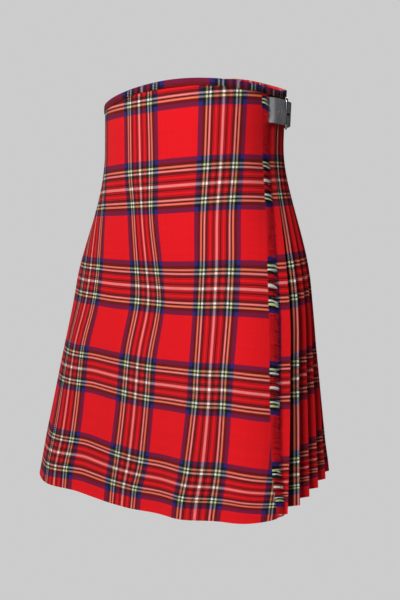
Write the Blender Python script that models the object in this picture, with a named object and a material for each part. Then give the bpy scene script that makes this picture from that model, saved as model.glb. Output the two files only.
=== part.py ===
"""Scottish kilt in the shape it has when worn, empty, as separate closed pieces.

Metres, +Z up, the front towards -Y and the wearer's left towards +X. The origin is inside
the waist opening at the height of the straps, where the wearer holds the kilt up.

The garment is one long wrap. The under-apron starts at the wearer's right hip and crosses
the front on the inside. At the left hip the cloth goes into knife pleats, which run round
the back. At the right hip it turns under in an inverted pleat, and the over-apron crosses
the front on the outside, to its fringed free edge at the wearer's left.

Two measures place every point of the cloth. "along" is the distance round the garment from
the centre of the front, positive towards the wearer's left. "drop" is the distance down the
cloth from the top edge at the front. "depth" is how far a point lies inside the outline.
"""

from collections import namedtuple
from functools import lru_cache
import math

import bmesh
import bpy
import numpy as np
from mathutils import Vector

# Driving sizes of the garment
LENGTH = 0.625              # cloth from top edge to hem
TOP_EDGE = 0.0331           # top edge at the front, above the waist line
BACK_RISE = 0.028           # how much higher the back is cut
HIP_DIP = 0.0164            # how much lower the top edge lies at the hips
DIP_MIDDLE = 0.020          # distance along of the dips' middle, at the front
CLOTH = 0.0010              # thickness of the cloth
GAP = 0.0003                # clearance between pieces that touch

# The outline at five drops. "square" is 2 for an ellipse, more for flatter sides.
Section = namedtuple("Section", "drop side front back lean square")
SECTIONS = (
    Section(0.000, 0.1385, 0.1142, 0.0755, -0.0020, 2.60),
    Section(0.080, 0.1385, 0.1142, 0.0755, -0.0020, 2.60),
    Section(0.300, 0.1955, 0.1115, 0.1225, -0.0102, 2.64),
    Section(0.450, 0.2127, 0.1162, 0.1429, -0.0165, 3.46),
    Section(0.625, 0.2369, 0.1281, 0.1575, -0.0237, 4.34),
)

# The kilt hangs askew: the wearer's left side and the back are higher by these slopes,
# with a further slope near the waist and one near the hem, each about its own x.
HIP_TILT = 0.0521
BACK_TILT = 0.0164
Tilt = namedtuple("Tilt", "drop waist")
TILTS = (
    Tilt(0.000, 0.0313),
    Tilt(0.142, 0.0384),
    Tilt(0.300, 0.0000),
)
WAIST_HINGE = -0.0363
HEM_TILT = 0.0554
HEM_HINGE = -0.0426
HEM_TILT_START = 0.550

# Where the aprons and pleats start and end, as distances along, at seven drops
Layout = namedtuple("Layout", "drop free_edge first_fold apron_fold fold_gap under_end")
LAYOUT = (
    Layout(0.000, 0.1621, 0.1985, -0.250, 0.0056, -0.205),
    Layout(0.060, 0.1649, 0.1985, -0.253, 0.0056, -0.209),
    Layout(0.115, 0.1691, 0.1988, -0.257, 0.0052, -0.213),
    Layout(0.230, 0.1778, 0.2090, -0.281, 0.0066, -0.232),
    Layout(0.370, 0.1943, 0.2316, -0.308, 0.0120, -0.254),
    Layout(0.500, 0.2132, 0.2483, -0.334, 0.0180, -0.268),
    Layout(0.625, 0.2384, 0.2580, -0.356, 0.0240, -0.282),
)

# How each pleat lies at seven drops: how far its inner fold sits behind the fold edge,
# how deep inside it, and the width of the fold itself. Down to the end of the sewn part
# the layers lie flat on each other.
Pleat = namedtuple("Pleat", "drop back depth fold")
PLEAT_SHAPE = (
    Pleat(0.000, 0.016, 0.0070, 0.0015),
    Pleat(0.060, 0.016, 0.0070, 0.0015),
    Pleat(0.115, 0.017, 0.0074, 0.0015),
    Pleat(0.165, 0.018, 0.0090, 0.0016),
    Pleat(0.250, 0.030, 0.0180, 0.0019),
    Pleat(0.400, 0.045, 0.0370, 0.0023),
    Pleat(0.625, 0.044, 0.0480, 0.0026),
)
PLEATS = 24
WAIST_CROWDING = 0.14       # pleats are this much narrower than average at the hips
HEM_SPREAD = 0.12           # and this much wider there at the hem

# Soft folds of the aprons: where, how wide and how far out (or in, if negative)
SoftFold = namedtuple("SoftFold", "along drop half_width half_height sway out")
SOFT_FOLDS = (
    SoftFold(-0.010, 0.300, 0.045, 0.055, 0.10, -0.0070),
    SoftFold(0.094, 0.600, 0.030, 0.210, -0.04, 0.0060),
    SoftFold(0.150, 0.610, 0.026, 0.170, 0.05, -0.0040),
    SoftFold(-0.105, 0.560, 0.038, 0.200, -0.12, -0.0050),
    SoftFold(-0.165, 0.600, 0.032, 0.240, -0.10, 0.0055),
    SoftFold(0.040, 0.590, 0.030, 0.160, 0.02, -0.0035),
)

UNDER_APRON_DEPTH = 0.0044  # under-apron inside the over-apron, at the bands' height

# Waistband: a strip folded over the top edge
BAND_HEIGHT = 0.0085

# Fringe at the free edge
FRINGE_STRANDS = 120
FRINGE_BACKING = 0.0018
FRINGE_LENGTH = 0.0125
FRINGE_DROOP = 0.0035
FRINGE_SWING = 0.0016

# Straps and buckles
STRAP_WIDTH = 0.035
STRAP_TOP = 0.0262          # drop of the strap's upper edge
STRAP_THICK = 0.0020
STRAP_REST = 0.0007         # the strap lies this far off the cloth
LEATHER_STEP = 0.0055
TONGUE_SLOT = 0.0120        # the hole in use, pulled long by the tongue
STRAP_HOLE = 0.0044         # its height
TONGUE_HOLE_AHEAD = 0.0140  # its middle, from the buckle's front bar
CHAPE_THICK = 0.0012
CHAPE_LENGTH = 0.036
CHAPE_SLOT_LENGTH = 0.016   # slot in the tab's fold for the tongue
CHAPE_SLOT_HEIGHT = 0.0062
FRAME_HEIGHT = 0.044
FRAME_WIDTH = 0.029
FRAME_CORNER = 0.006
FRAME_BAR = 0.0026
TONGUE_BAR = 0.0016
CUT_REACH = 0.009           # cutters reach this far out and in from the outline
CUT_SIDES = 10

Finish = namedtuple("Finish", "red green blue roughness metallic")
TARTAN = Finish(0.60, 0.02, 0.02, 0.85, 0.0)
DARK_TARTAN = Finish(0.36, 0.01, 0.02, 0.85, 0.0)
YARN = Finish(0.70, 0.30, 0.08, 0.80, 0.0)
LEATHER = Finish(0.02, 0.02, 0.022, 0.35, 0.0)
CHROME = Finish(0.80, 0.80, 0.80, 0.15, 1.0)


def read_table(table, column, drop):
    """Value of a column of a table at a drop, on a smooth curve through its rows."""
    drops = [row.drop for row in table]
    values = [getattr(row, column) for row in table]
    if drop <= drops[0]:
        return values[0]
    if drop >= drops[-1]:
        return values[-1]
    steps = [(values[i + 1] - values[i]) / (drops[i + 1] - drops[i]) for i in range(len(drops) - 1)]
    slopes = [steps[0]]
    for before, after in zip(steps, steps[1:]):
        same_way = before * after > 0.0
        slopes.append(2.0 * before * after / (before + after) if same_way else 0.0)
    slopes.append(steps[-1])
    i = max(k for k in range(len(drops) - 1) if drops[k] <= drop)
    width = drops[i + 1] - drops[i]
    t = (drop - drops[i]) / width
    start = (1 + 2 * t) * (1 - t) ** 2 * values[i] + t * (1 - t) ** 2 * width * slopes[i]
    end = t * t * (3 - 2 * t) * values[i + 1] + t * t * (t - 1) * width * slopes[i + 1]
    return start + end


def ease(value):
    """Smooth step from 0 to 1."""
    t = min(max(value, 0.0), 1.0)
    return t * t * (3.0 - 2.0 * t)


# Drops of the rows of points down every panel
LEVELS = (0.0008, 0.060, 0.115, 0.165, 0.220, 0.290, 0.370, 0.450, 0.545, LENGTH)

TURN_STEPS = 720
TURN = np.linspace(-0.5 * math.pi, 1.5 * math.pi, TURN_STEPS + 1)
DROP_STEP = 0.010


def plan_of(drop):
    """Plan of the outline at a drop, once round from the centre of the front."""
    side, front, back, lean, square = (
        read_table(SECTIONS, column, drop) for column in ("side", "front", "back", "lean", "square")
    )
    power = 2.0 / square
    cos, sin = np.cos(TURN), np.sin(TURN)
    x = side * np.sign(cos) * np.abs(cos) ** power + lean
    reach = np.where(sin > 0.0, back, front)
    y = reach * np.sign(sin) * np.abs(sin) ** power
    return np.column_stack((x, y))


@lru_cache(maxsize=None)
def height_of(step):
    """Heights of the outline, a whole number of drop steps down: it flares, so it falls
    short of the drop by as much as the wall leans."""
    if step == 0:
        return np.full(TURN_STEPS + 1, TOP_EDGE)
    moved = plan_of(step * DROP_STEP) - plan_of((step - 1) * DROP_STEP)
    fall = np.sqrt(np.maximum(DROP_STEP ** 2 - (moved ** 2).sum(axis=1), 0.0))
    return height_of(step - 1) - fall


def askew(plan, drop):
    """How much higher each point of a plan hangs than it would on a level kilt."""
    x, y = plan[:, 0], plan[:, 1]
    hem = HEM_TILT * ease((drop - HEM_TILT_START) / (LENGTH - HEM_TILT_START))
    waist = read_table(TILTS, "waist", drop)
    return HIP_TILT * x + BACK_TILT * y + waist * (x - WAIST_HINGE) + hem * (x - HEM_HINGE)


class Outline:
    """The garment's outline at one drop, which places points along it."""

    def __init__(self, drop):
        self.drop = drop
        plan = plan_of(max(drop, 0.0))
        runs = np.hypot(*np.diff(plan, axis=0).T)
        self.plan = plan
        self.runs = np.concatenate(([0.0], np.cumsum(runs)))
        self.round = self.runs[-1]
        tangent = np.gradient(plan, axis=0)
        tangent[0] = tangent[-1] = (1.0, 0.0)
        tangent /= np.hypot(*tangent.T)[:, None]
        self.normal = np.column_stack((tangent[:, 1], -tangent[:, 0]))
        down = max(drop, 0.0) / DROP_STEP
        step = int(down)
        part = down - step
        low = height_of(step + 1) if part > 0.0 else height_of(step)
        self.height = (1.0 - part) * height_of(step) + part * low + askew(plan, drop)

    def place(self, along, depth=0.0):
        """Point at a distance along and a depth inside the outline."""
        where = along % self.round
        x = np.interp(where, self.runs, self.plan[:, 0])
        y = np.interp(where, self.runs, self.plan[:, 1])
        out_x = np.interp(where, self.runs, self.normal[:, 0])
        out_y = np.interp(where, self.runs, self.normal[:, 1])
        z = np.interp(where, self.runs, self.height)
        return Vector((x - out_x * depth, y - out_y * depth, z))

    def rise(self, along):
        """How much higher than at the front the top edge lies here: lower at the hips, and
        highest at the centre of the back."""
        dip = HIP_DIP * (0.5 - 0.5 * math.cos(4.0 * math.pi * (along - DIP_MIDDLE) / self.round))
        share = (along % self.round) / self.round
        if abs(share - 0.5) > 0.26:
            return -dip
        return BACK_RISE * (0.5 + 0.5 * math.cos(2.0 * math.pi * (share - 0.5) / 0.52)) - dip


@lru_cache(maxsize=None)
def outline(drop):
    """The outline at a drop, kept once worked out."""
    return Outline(drop)


def soft_fold(along, drop):
    """How far in the soft folds of the aprons push the cloth here."""
    depth = 0.0
    for fold in SOFT_FOLDS:
        middle = fold.along + fold.sway * (drop - fold.drop)
        across = (along - middle) / fold.half_width
        down = (drop - fold.drop) / fold.half_height
        depth -= fold.out * math.exp(-across * across - down * down)
    return depth * ease((drop - 0.07) / 0.10)


def sides_of(line, half):
    """The two sides of a wall whose middle line in plan is given, at half its thickness."""
    flat = [Vector((p.x, p.y)) for p in line]
    lefts, rights = [], []
    for i, point in enumerate(line):
        before = (flat[i] - flat[i - 1]).normalized() if i > 0 else None
        after = (flat[i + 1] - flat[i]).normalized() if i < len(line) - 1 else None
        one = before or after
        two = after or before
        normal_one = Vector((one.y, -one.x))
        normal_two = Vector((two.y, -two.x))
        mitre = (normal_one + normal_two) / (1.0 + normal_one.dot(normal_two)) * half
        lefts.append(Vector((point.x + mitre.x, point.y + mitre.y, point.z)))
        rights.append(Vector((point.x - mitre.x, point.y - mitre.y, point.z)))
    return lefts, rights


def material_for(name, finish):
    """Plain material of a piece."""
    material = bpy.data.materials.new(name)
    material.use_nodes = True
    shader = material.node_tree.nodes["Principled BSDF"]
    shader.inputs["Base Color"].default_value = (finish.red, finish.green, finish.blue, 1.0)
    shader.inputs["Roughness"].default_value = finish.roughness
    shader.inputs["Metallic"].default_value = finish.metallic
    return material


def add_object(name, mesh_maker, finish, parent, smooth=True):
    """Turn a bmesh into a named object with its material."""
    bmesh.ops.recalc_face_normals(mesh_maker, faces=mesh_maker.faces)
    mesh = bpy.data.meshes.new(name)
    mesh_maker.to_mesh(mesh)
    mesh_maker.free()
    mesh.materials.append(material_for(name, finish))
    if smooth:
        mesh.shade_smooth()
        mesh.set_sharp_from_angle(angle=math.radians(50.0))
    piece = bpy.data.objects.new(name, mesh)
    bpy.context.scene.collection.objects.link(piece)
    piece.parent = parent
    return piece


def wall_mesh(rows):
    """Closed wall from rows of (outer points, inner points), all of one length."""
    maker = bmesh.new()
    outer = [[maker.verts.new(p) for p in row[0]] for row in rows]
    inner = [[maker.verts.new(p) for p in row[1]] for row in rows]
    count = len(outer[0])
    for r in range(len(rows) - 1):
        for c in range(count - 1):
            maker.faces.new((outer[r][c], outer[r][c + 1], outer[r + 1][c + 1], outer[r + 1][c]))
            maker.faces.new((inner[r][c], inner[r + 1][c], inner[r + 1][c + 1], inner[r][c + 1]))
        for c in (0, count - 1):
            maker.faces.new((outer[r][c], outer[r + 1][c], inner[r + 1][c], inner[r][c]))
    for r in (0, len(rows) - 1):
        for c in range(count - 1):
            maker.faces.new((outer[r][c], inner[r][c], inner[r][c + 1], outer[r][c + 1]))
    return maker


# Places of the folds


def fold_edge(number, drop):
    """Distance along of the edge of a pleat, counted from the wearer's left hip."""
    first = read_table(LAYOUT, "first_fold", drop)
    last = outline(drop).round + read_table(LAYOUT, "apron_fold", drop)
    last -= read_table(LAYOUT, "fold_gap", drop)
    share = (number - 1) / (PLEATS - 1)
    opened = ease((drop - 0.115) / (LENGTH - 0.115))
    bunching = -WAIST_CROWDING + (WAIST_CROWDING + HEM_SPREAD) * opened
    share += bunching * math.sin(2.0 * math.pi * share) / (2.0 * math.pi)
    return first + (last - first) * share


def pleat_line(first, last, drop):
    """Middle line of the cloth through the pleats from one number to another, as
    (along, depth) pairs, each pleat a face that runs out to its edge and a return."""
    back = read_table(PLEAT_SHAPE, "back", drop)
    depth = read_table(PLEAT_SHAPE, "depth", drop)
    fold = read_table(PLEAT_SHAPE, "fold", drop)
    curl = 0.10 * ease((drop - 0.165) / 0.25)
    line = []
    for number in range(first, last + 1):
        edge = fold_edge(number, drop)
        start = fold_edge(number - 1, drop) - back
        line.append((start, depth))
        for part in (1.0 / 3.0, 2.0 / 3.0):
            lifted = depth * (1.0 - part + curl * math.sin(math.pi * part))
            line.append((start + part * (edge - start), lifted))
        line.append((edge, 0.0))
        line.append((edge, fold))
        line.append((edge - 0.5 * back, 0.5 * depth))
        line.append((edge - back, depth - fold))
    return line


def panel_rows(line_at):
    """Rows of a panel's two sides, from a function that gives its middle line at a drop."""
    rows = []
    for drop in LEVELS:
        level = outline(drop)
        points = []
        for along, depth in line_at(drop):
            point = level.place(along, depth)
            if drop == LEVELS[0]:
                point.z += level.rise(along)
            points.append(point)
        rows.append(sides_of(points, 0.5 * CLOTH))
    return rows


def build_pleats(parent):
    """The two lengths of pleated cloth, which meet at an inner fold at the centre back."""
    middle = PLEATS // 2

    def left(drop):
        line = pleat_line(1, middle, drop)
        return [(seam_before_pleats(drop, 0.0), line[0][1])] + line

    def right(drop):
        line = pleat_line(middle + 1, PLEATS, drop)
        depth = read_table(PLEAT_SHAPE, "depth", drop)
        back = read_table(PLEAT_SHAPE, "back", drop)
        last = fold_edge(PLEATS, drop)
        line.append((last - back, depth))
        end = inverted_end(drop)
        line += [(last, depth), (0.5 * (last + end), depth), (end, depth)]
        return line

    add_object("pleats_left", wall_mesh(panel_rows(left)), TARTAN, parent)
    add_object("pleats_right", wall_mesh(panel_rows(right)), DARK_TARTAN, parent)


def inverted_end(drop):
    """Distance along of the inner fold of the inverted pleat, in front of the over-apron's edge."""
    edge = outline(drop).round + read_table(LAYOUT, "apron_fold", drop)
    return edge + read_table(PLEAT_SHAPE, "back", drop) * 1.1


def seam_before_pleats(drop, gap):
    """Distance along of the seam between the under-apron and the first pleat, less a gap.
    Deep inside the outline, where it bends, a distance along is shorter than it reads."""
    start = fold_edge(0, drop) - read_table(PLEAT_SHAPE, "back", drop)
    depth = read_table(PLEAT_SHAPE, "depth", drop)
    level = outline(drop)
    one, two = level.place(start - SEAM_STUB, depth), level.place(start, depth)
    shrink = math.hypot(two.x - one.x, two.y - one.y) / SEAM_STUB
    return start - (SEAM_STUB + gap) / shrink


# Aprons

OVER_COLUMNS = 34
UNDER_COLUMNS = 22
SEAM_STUB = 0.0015          # the first pleat's cloth before it turns outwards


def over_apron_line(drop):
    """Middle line of the over-apron: from the inner fold at the right hip back to its own
    fold edge, then across the front to the free edge."""
    level = outline(drop)
    depth = read_table(PLEAT_SHAPE, "depth", drop)
    fold = read_table(PLEAT_SHAPE, "fold", drop)
    inner = inverted_end(drop)
    edge = level.round + read_table(LAYOUT, "apron_fold", drop)
    free = level.round + read_table(LAYOUT, "free_edge", drop)
    seam = depth - CLOTH - GAP
    line = [(inner, seam), (0.5 * (inner + edge), 0.5 * (seam + fold)), (edge, fold)]
    for i in range(OVER_COLUMNS + 1):
        along = edge + (free - edge) * i / OVER_COLUMNS
        line.append((along, soft_fold(along - level.round, drop)))
    return line


def build_over_apron(parent):
    """The front panel that shows."""
    add_object("over_apron", wall_mesh(panel_rows(over_apron_line)), TARTAN, parent)


def under_apron_line(drop):
    """Middle line of the under-apron: from its free edge at the right hip across the front,
    then in to the first pleat."""
    depth = read_table(PLEAT_SHAPE, "depth", drop)
    start = read_table(LAYOUT, "under_end", drop)
    end = seam_before_pleats(drop, GAP)
    turn = min(0.75 * depth + 0.02, 0.055)
    line = []
    for i in range(UNDER_COLUMNS + 1):
        along = start + (end - start) * i / UNDER_COLUMNS
        inward = ease((along - (end - turn)) / turn)
        follow = soft_fold(along, drop)
        line.append((along, UNDER_APRON_DEPTH + follow + (depth - UNDER_APRON_DEPTH - follow) * inward))
    return line


def build_under_apron(parent):
    """The front panel inside the over-apron."""
    add_object("under_apron", wall_mesh(panel_rows(under_apron_line)), DARK_TARTAN, parent)


# Waistband


def band_sides(along):
    """Depths of the middles of the waistband's outer and inner walls, at a distance along its
    whole run, from the under-apron's free edge once round and on to the over-apron's."""
    top = LEVELS[0]
    stand_off = CLOTH + GAP
    behind_pleats = read_table(PLEAT_SHAPE, "depth", top) + stand_off + GAP
    pleats_start = read_table(LAYOUT, "free_edge", top) + 0.004
    pleats_end = inverted_end(top)
    came_out = ease((along - pleats_start) / 0.012)
    went_in = ease((along - pleats_start + 0.034) / 0.016)
    thinned = ease((along - pleats_end - 0.004) / 0.019)
    outer = (UNDER_APRON_DEPTH - stand_off) * (1.0 - came_out) - stand_off * came_out
    inner = (UNDER_APRON_DEPTH + stand_off) * (1.0 - went_in) + behind_pleats * went_in
    inner += (stand_off - behind_pleats) * thinned
    return outer, inner


def band_stations():
    """Distances along at which the waistband's section stands: those of the panels' points."""
    top = LEVELS[0]
    under = [along for along, _ in under_apron_line(top)]
    pleats_start = read_table(LAYOUT, "free_edge", top)
    turn = [pleats_start + step for step in (0.004, 0.010, 0.016)]
    pleats = [fold_edge(0.5 * half, top) for half in range(2, 2 * PLEATS + 1)]
    over = [along for along, _ in over_apron_line(top)[3:]]
    under = [along for along in under if along < pleats_start - 0.002] + [pleats_start]
    return under + turn + pleats + over


def build_waistband(parent):
    """The strip folded over the top edge, an upside-down U in section."""
    half = 0.5 * CLOTH
    level = outline(LEVELS[0])
    maker = bmesh.new()
    loops = []
    for along in band_stations():
        outer, inner = band_sides(along)
        lift = level.rise(along) + LEVELS[0]
        spots = (
            (outer - half, -BAND_HEIGHT),
            (outer - half, CLOTH),
            (inner + half, CLOTH),
            (inner + half, -BAND_HEIGHT),
            (inner - half, -BAND_HEIGHT),
            (inner - half, 0.0),
            (outer + half, 0.0),
            (outer + half, -BAND_HEIGHT),
        )
        raised = [level.place(along, depth) + Vector((0.0, 0.0, lift + up)) for depth, up in spots]
        loops.append([maker.verts.new(point) for point in raised])
    bridge(maker, loops)
    add_object("waistband", maker, DARK_TARTAN, parent)


def bridge(maker, loops, capped=True):
    """Join rings of points with faces, and close the two ends."""
    count = len(loops[0])
    for one, two in zip(loops, loops[1:]):
        for i in range(count):
            j = (i + 1) % count
            maker.faces.new((one[i], one[j], two[j], two[i]))
    if capped:
        maker.faces.new(loops[0][::-1])
        maker.faces.new(loops[-1])


# Fringe


def free_edge_spots(drop):
    """Four corners of the fringe's strip at a drop, in line with the over-apron's points,
    which lie on straight runs between its levels: two at its edge, two at the roots."""
    half = 0.5 * CLOTH
    i = max(k for k in range(len(LEVELS) - 1) if LEVELS[k] <= drop)
    share = (drop - LEVELS[i]) / (LEVELS[i + 1] - LEVELS[i])
    corners = []
    for here in (LEVELS[i], LEVELS[i + 1]):
        level = outline(here)
        edge = read_table(LAYOUT, "free_edge", here)
        fold = soft_fold(edge, here)
        lift = Vector((0.0, 0.0, level.rise(edge) if here == LEVELS[0] else 0.0))
        spots = ((GAP, 0.0), (GAP + FRINGE_BACKING, half), (GAP + FRINGE_BACKING, -half))
        corners.append([level.place(edge + out, fold + depth) + lift for out, depth in spots])
    return [one.lerp(two, share) for one, two in zip(*corners)]


def build_fringe(parent):
    """Loose weft threads in locks, on a narrow strip beside the over-apron's free edge."""
    top = BAND_HEIGHT + 0.004
    bottom = LENGTH - 0.001
    rows = 2 * FRINGE_STRANDS
    maker = bmesh.new()
    corners = []
    for i in range(rows):
        drop = top + (bottom - top) * i / (rows - 1)
        corners.append([maker.verts.new(spot) for spot in free_edge_spots(drop)])
    for one, two in zip(corners, corners[1:]):
        maker.faces.new((one[0], one[1], two[1], two[0]))
        maker.faces.new((one[2], one[0], two[0], two[2]))
    maker.faces.new(corners[0])
    maker.faces.new(corners[-1][::-1])
    for i in range(rows - 1):
        root = [corners[i][1], corners[i][2], corners[i + 1][2], corners[i + 1][1]]
        if i % 2 == 0:
            add_strand(maker, root, i // 2)
        else:
            maker.faces.new(root)
    add_object("fringe", maker, YARN, parent)


def add_strand(maker, root, number):
    """One lock of threads, four-sided, out from its root and drooping to its tip."""
    middle = sum((corner.co for corner in root), Vector()) / 4.0
    outward = (root[1].co - root[0].co).normalized()
    down = (root[2].co - root[1].co).normalized()
    ahead = down.cross(outward).normalized()
    if ahead.dot(Vector((-middle.y, middle.x, 0.0))) < 0.0:
        ahead = -ahead
    length = FRINGE_LENGTH * (1.0 + 0.10 * math.sin(2.9 * number))
    uneven = 0.0005 * (math.sin(1.7 * number) + 0.6 * math.sin(0.43 * number + 1.0))
    swing = FRINGE_SWING * (0.4 + 0.3 * math.sin(1.1 * number))
    ring = root
    for part, scale in ((0.55, 0.80), (1.0, 0.45)):
        shift = ahead * (length * part) + outward * (swing * part)
        shift.z -= FRINGE_DROOP * part * part + uneven * part
        tip = [maker.verts.new(middle + shift + (corner.co - middle) * scale) for corner in root]
        for k in range(4):
            m = (k + 1) % 4
            maker.faces.new((ring[k], ring[m], tip[m], tip[k]))
        ring = tip
    maker.faces.new(ring)


# Straps and buckles

WRAP_RADIUS = 0.5 * FRAME_BAR + 2 * GAP + 0.5 * CHAPE_THICK
RING_RADIUS = 0.5 * FRAME_BAR + GAP + 0.5 * TONGUE_BAR
HEEL_DEPTH = -(0.5 * CLOTH + GAP + RING_RADIUS + 0.5 * TONGUE_BAR + 0.0001)
FRONT_DEPTH = -(0.5 * CLOTH + STRAP_REST + STRAP_THICK + 2 * GAP + 0.5 * FRAME_BAR)


def finer(line, step):
    """A line of (along, depth) pairs with points added on its longer stretches."""
    points = [line[0]]
    for one, two in zip(line, line[1:]):
        parts = max(1, math.ceil(math.hypot(two[0] - one[0], two[1] - one[1]) / step))
        for k in range(1, parts + 1):
            share = k / parts
            points.append((one[0] + (two[0] - one[0]) * share, one[1] + (two[1] - one[1]) * share))
    return points


class Fastening:
    """A leather strap with its buckle and the tab that holds the buckle, along the outline.

    "ahead" runs from the strap's sewn end towards its tip, from the front bar of the buckle.
    """

    def __init__(self, name, origin, way, entry):
        self.name = name
        self.origin = origin        # distance along of the buckle's front bar
        self.way = way              # +1 if the strap points to the wearer's back on the left
        self.entry = entry          # middle line of the strap before the buckle

    def place(self, ahead, depth, drop):
        """Point on or over the pleats."""
        return outline(round(drop, 4)).place(self.origin + self.way * ahead, depth)

    def ribbon(self, line, top, bottom, thick):
        """Closed strip of leather through (ahead, depth) pairs."""
        rows = []
        for drop in (top, 0.5 * (top + bottom), bottom):
            points = [self.place(ahead, depth, drop) for ahead, depth in finer(line, LEATHER_STEP)]
            rows.append(sides_of(points, 0.5 * thick))
        return wall_mesh(rows)

    def strap_line(self):
        """Middle line of the strap: under the front bar, over the heel bar, down to its tip."""
        low = -(0.5 * CLOTH + STRAP_REST + 0.5 * STRAP_THICK)
        over = HEEL_DEPTH - (WRAP_RADIUS + 0.5 * CHAPE_THICK + 2 * GAP + 0.5 * STRAP_THICK)
        tail = -(0.5 * CLOTH + 5 * GAP + 2 * CHAPE_THICK + 0.5 * STRAP_THICK)
        heel = FRAME_WIDTH - FRAME_BAR
        rest = [(-0.003, low), (0.006, low), (0.010, low - 0.0006), (0.0205, over + 0.0004)]
        rest += [(heel - 0.002, over), (heel + 0.003, over), (heel + 0.010, 0.5 * (over + tail))]
        rest += [(heel + 0.018, tail - 0.0002), (heel + 0.046, tail - 0.0002)]
        return self.entry + rest

    def build_strap(self, parent):
        """The strap, with the hole that the tongue goes through."""
        maker = self.ribbon(self.strap_line(), STRAP_TOP, STRAP_TOP + STRAP_WIDTH, STRAP_THICK)
        strap = add_object(self.name + "_strap", maker, LEATHER, parent)
        middle = STRAP_TOP + 0.5 * STRAP_WIDTH
        self.cut(strap, TONGUE_HOLE_AHEAD, middle, TONGUE_SLOT, STRAP_HOLE)

    def cut(self, piece, ahead, drop, length, height):
        """Cut an oval hole through a strip."""
        middle = self.place(ahead, 0.0, drop)
        out = (middle - self.place(ahead, CUT_REACH, drop)).normalized()
        down = Vector((0.0, 0.0, -1.0))
        across = down.cross(out).normalized()
        maker = bmesh.new()
        loops = []
        for reach in (CUT_REACH, -CUT_REACH):
            ring = []
            for k in range(CUT_SIDES):
                turn = 2.0 * math.pi * (k + 0.5) / CUT_SIDES
                spot = across * (0.5 * length * math.cos(turn)) + down * (0.5 * height * math.sin(turn))
                ring.append(maker.verts.new(middle + out * reach + spot))
            loops.append(ring)
        bridge(maker, loops)
        cutter = add_object(piece.name + "_cutter", maker, LEATHER, piece.parent, smooth=False)
        cutter.hide_render = True
        cutter.display_type = 'WIRE'
        modifier = piece.modifiers.new("hole", 'BOOLEAN')
        modifier.object = cutter
        modifier.operation = 'DIFFERENCE'
        modifier.solver = 'EXACT'

    def build_chape(self, parent):
        """The tab sewn to the pleats, folded round the heel bar, with a slot for the tongue."""
        heel = FRAME_WIDTH - FRAME_BAR
        under = -(0.5 * CLOTH + GAP + 0.5 * CHAPE_THICK)
        upper = under - CHAPE_THICK - 2 * GAP
        line = [(heel + CHAPE_LENGTH, under), (heel + 0.5 * CHAPE_LENGTH, under), (heel + 0.004, under)]
        for turn in (-110, -145, -180, -215, -250):
            angle = math.radians(turn)
            line.append((heel + WRAP_RADIUS * math.cos(angle), HEEL_DEPTH - WRAP_RADIUS * math.sin(angle)))
        line += [(heel + 0.012, upper - 0.0002), (heel + 0.5 * CHAPE_LENGTH, upper)]
        line += [(heel + CHAPE_LENGTH, upper)]
        maker = self.ribbon(line, STRAP_TOP + 0.001, STRAP_TOP + STRAP_WIDTH - 0.001, CHAPE_THICK)
        chape = add_object(self.name + "_chape", maker, LEATHER, parent)
        middle = STRAP_TOP + 0.5 * STRAP_WIDTH
        self.cut(chape, heel - 0.001, middle, CHAPE_SLOT_LENGTH, CHAPE_SLOT_HEIGHT)

    def axes(self):
        """Place and directions of the buckle: its flat frame lies askew, front bar above the
        strap and heel bar under it."""
        middle = STRAP_TOP + 0.5 * STRAP_WIDTH
        front = self.place(0.0, FRONT_DEPTH, middle)
        heel = self.place(FRAME_WIDTH - FRAME_BAR, HEEL_DEPTH, middle)
        ahead = (heel - front).normalized()
        down = Vector((0.0, 0.0, -1.0))
        out = down.cross(ahead) * self.way
        return front, ahead, down, out.normalized(), (heel - front).length

    def build_frame(self, parent):
        """Frame of round bar with rounded corners."""
        front, ahead, down, out, width = self.axes()
        height = FRAME_HEIGHT - FRAME_BAR
        radius = FRAME_CORNER
        path = []
        corners = ((radius, 0.5 * height - radius, 90), (width - radius, 0.5 * height - radius, 0),
                   (width - radius, radius - 0.5 * height, -90), (radius, radius - 0.5 * height, -180))
        for across, low, start in corners:
            for step in (0, 30, 60, 90):
                angle = math.radians(start + 90 - step)
                spot = front + ahead * (across + radius * math.cos(angle))
                path.append(spot + down * (low + radius * math.sin(angle)))
        maker = bmesh.new()
        loops = []
        for i, spot in enumerate(path):
            run = (path[(i + 1) % len(path)] - path[i - 1]).normalized()
            side = run.cross(out).normalized()
            ring = []
            for k in range(8):
                turn = 2.0 * math.pi * k / 8
                ring.append(spot + (side * math.cos(turn) + out * math.sin(turn)) * (0.5 * FRAME_BAR))
            loops.append([maker.verts.new(p) for p in ring])
        bridge(maker, loops + loops[:1], capped=False)
        add_object(self.name + "_buckle", maker, CHROME, parent)

    def build_tongue(self, parent):
        """The pin: a ring round the heel bar, and an arm out through the strap's hole that
        rests on the front bar."""
        front, ahead, down, out, width = self.axes()
        heel = front + ahead * width
        path = []
        for turn in range(80, -201, -40):
            angle = math.radians(turn)
            path.append(heel + (ahead * math.cos(angle) + out * math.sin(angle)) * RING_RADIUS)
        path.append(heel - ahead * (0.5 * width) + out * (0.55 * RING_RADIUS + 0.0004))
        path.append(front + out * RING_RADIUS)
        path.append(front - ahead * 0.0014 + out * RING_RADIUS)
        maker = bmesh.new()
        loops = []
        for i, spot in enumerate(path):
            run = (path[min(i + 1, len(path) - 1)] - path[max(i - 1, 0)]).normalized()
            side = run.cross(down).normalized()
            ring = []
            for k in range(6):
                turn = 2.0 * math.pi * k / 6
                ring.append(spot + (side * math.cos(turn) + down * math.sin(turn)) * (0.5 * TONGUE_BAR))
            loops.append([maker.verts.new(p) for p in ring])
        bridge(maker, loops)
        add_object(self.name + "_tongue", maker, CHROME, parent)

    def build(self, parent):
        """All pieces of the fastening."""
        self.build_strap(parent)
        self.build_chape(parent)
        self.build_frame(parent)
        self.build_tongue(parent)


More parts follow.
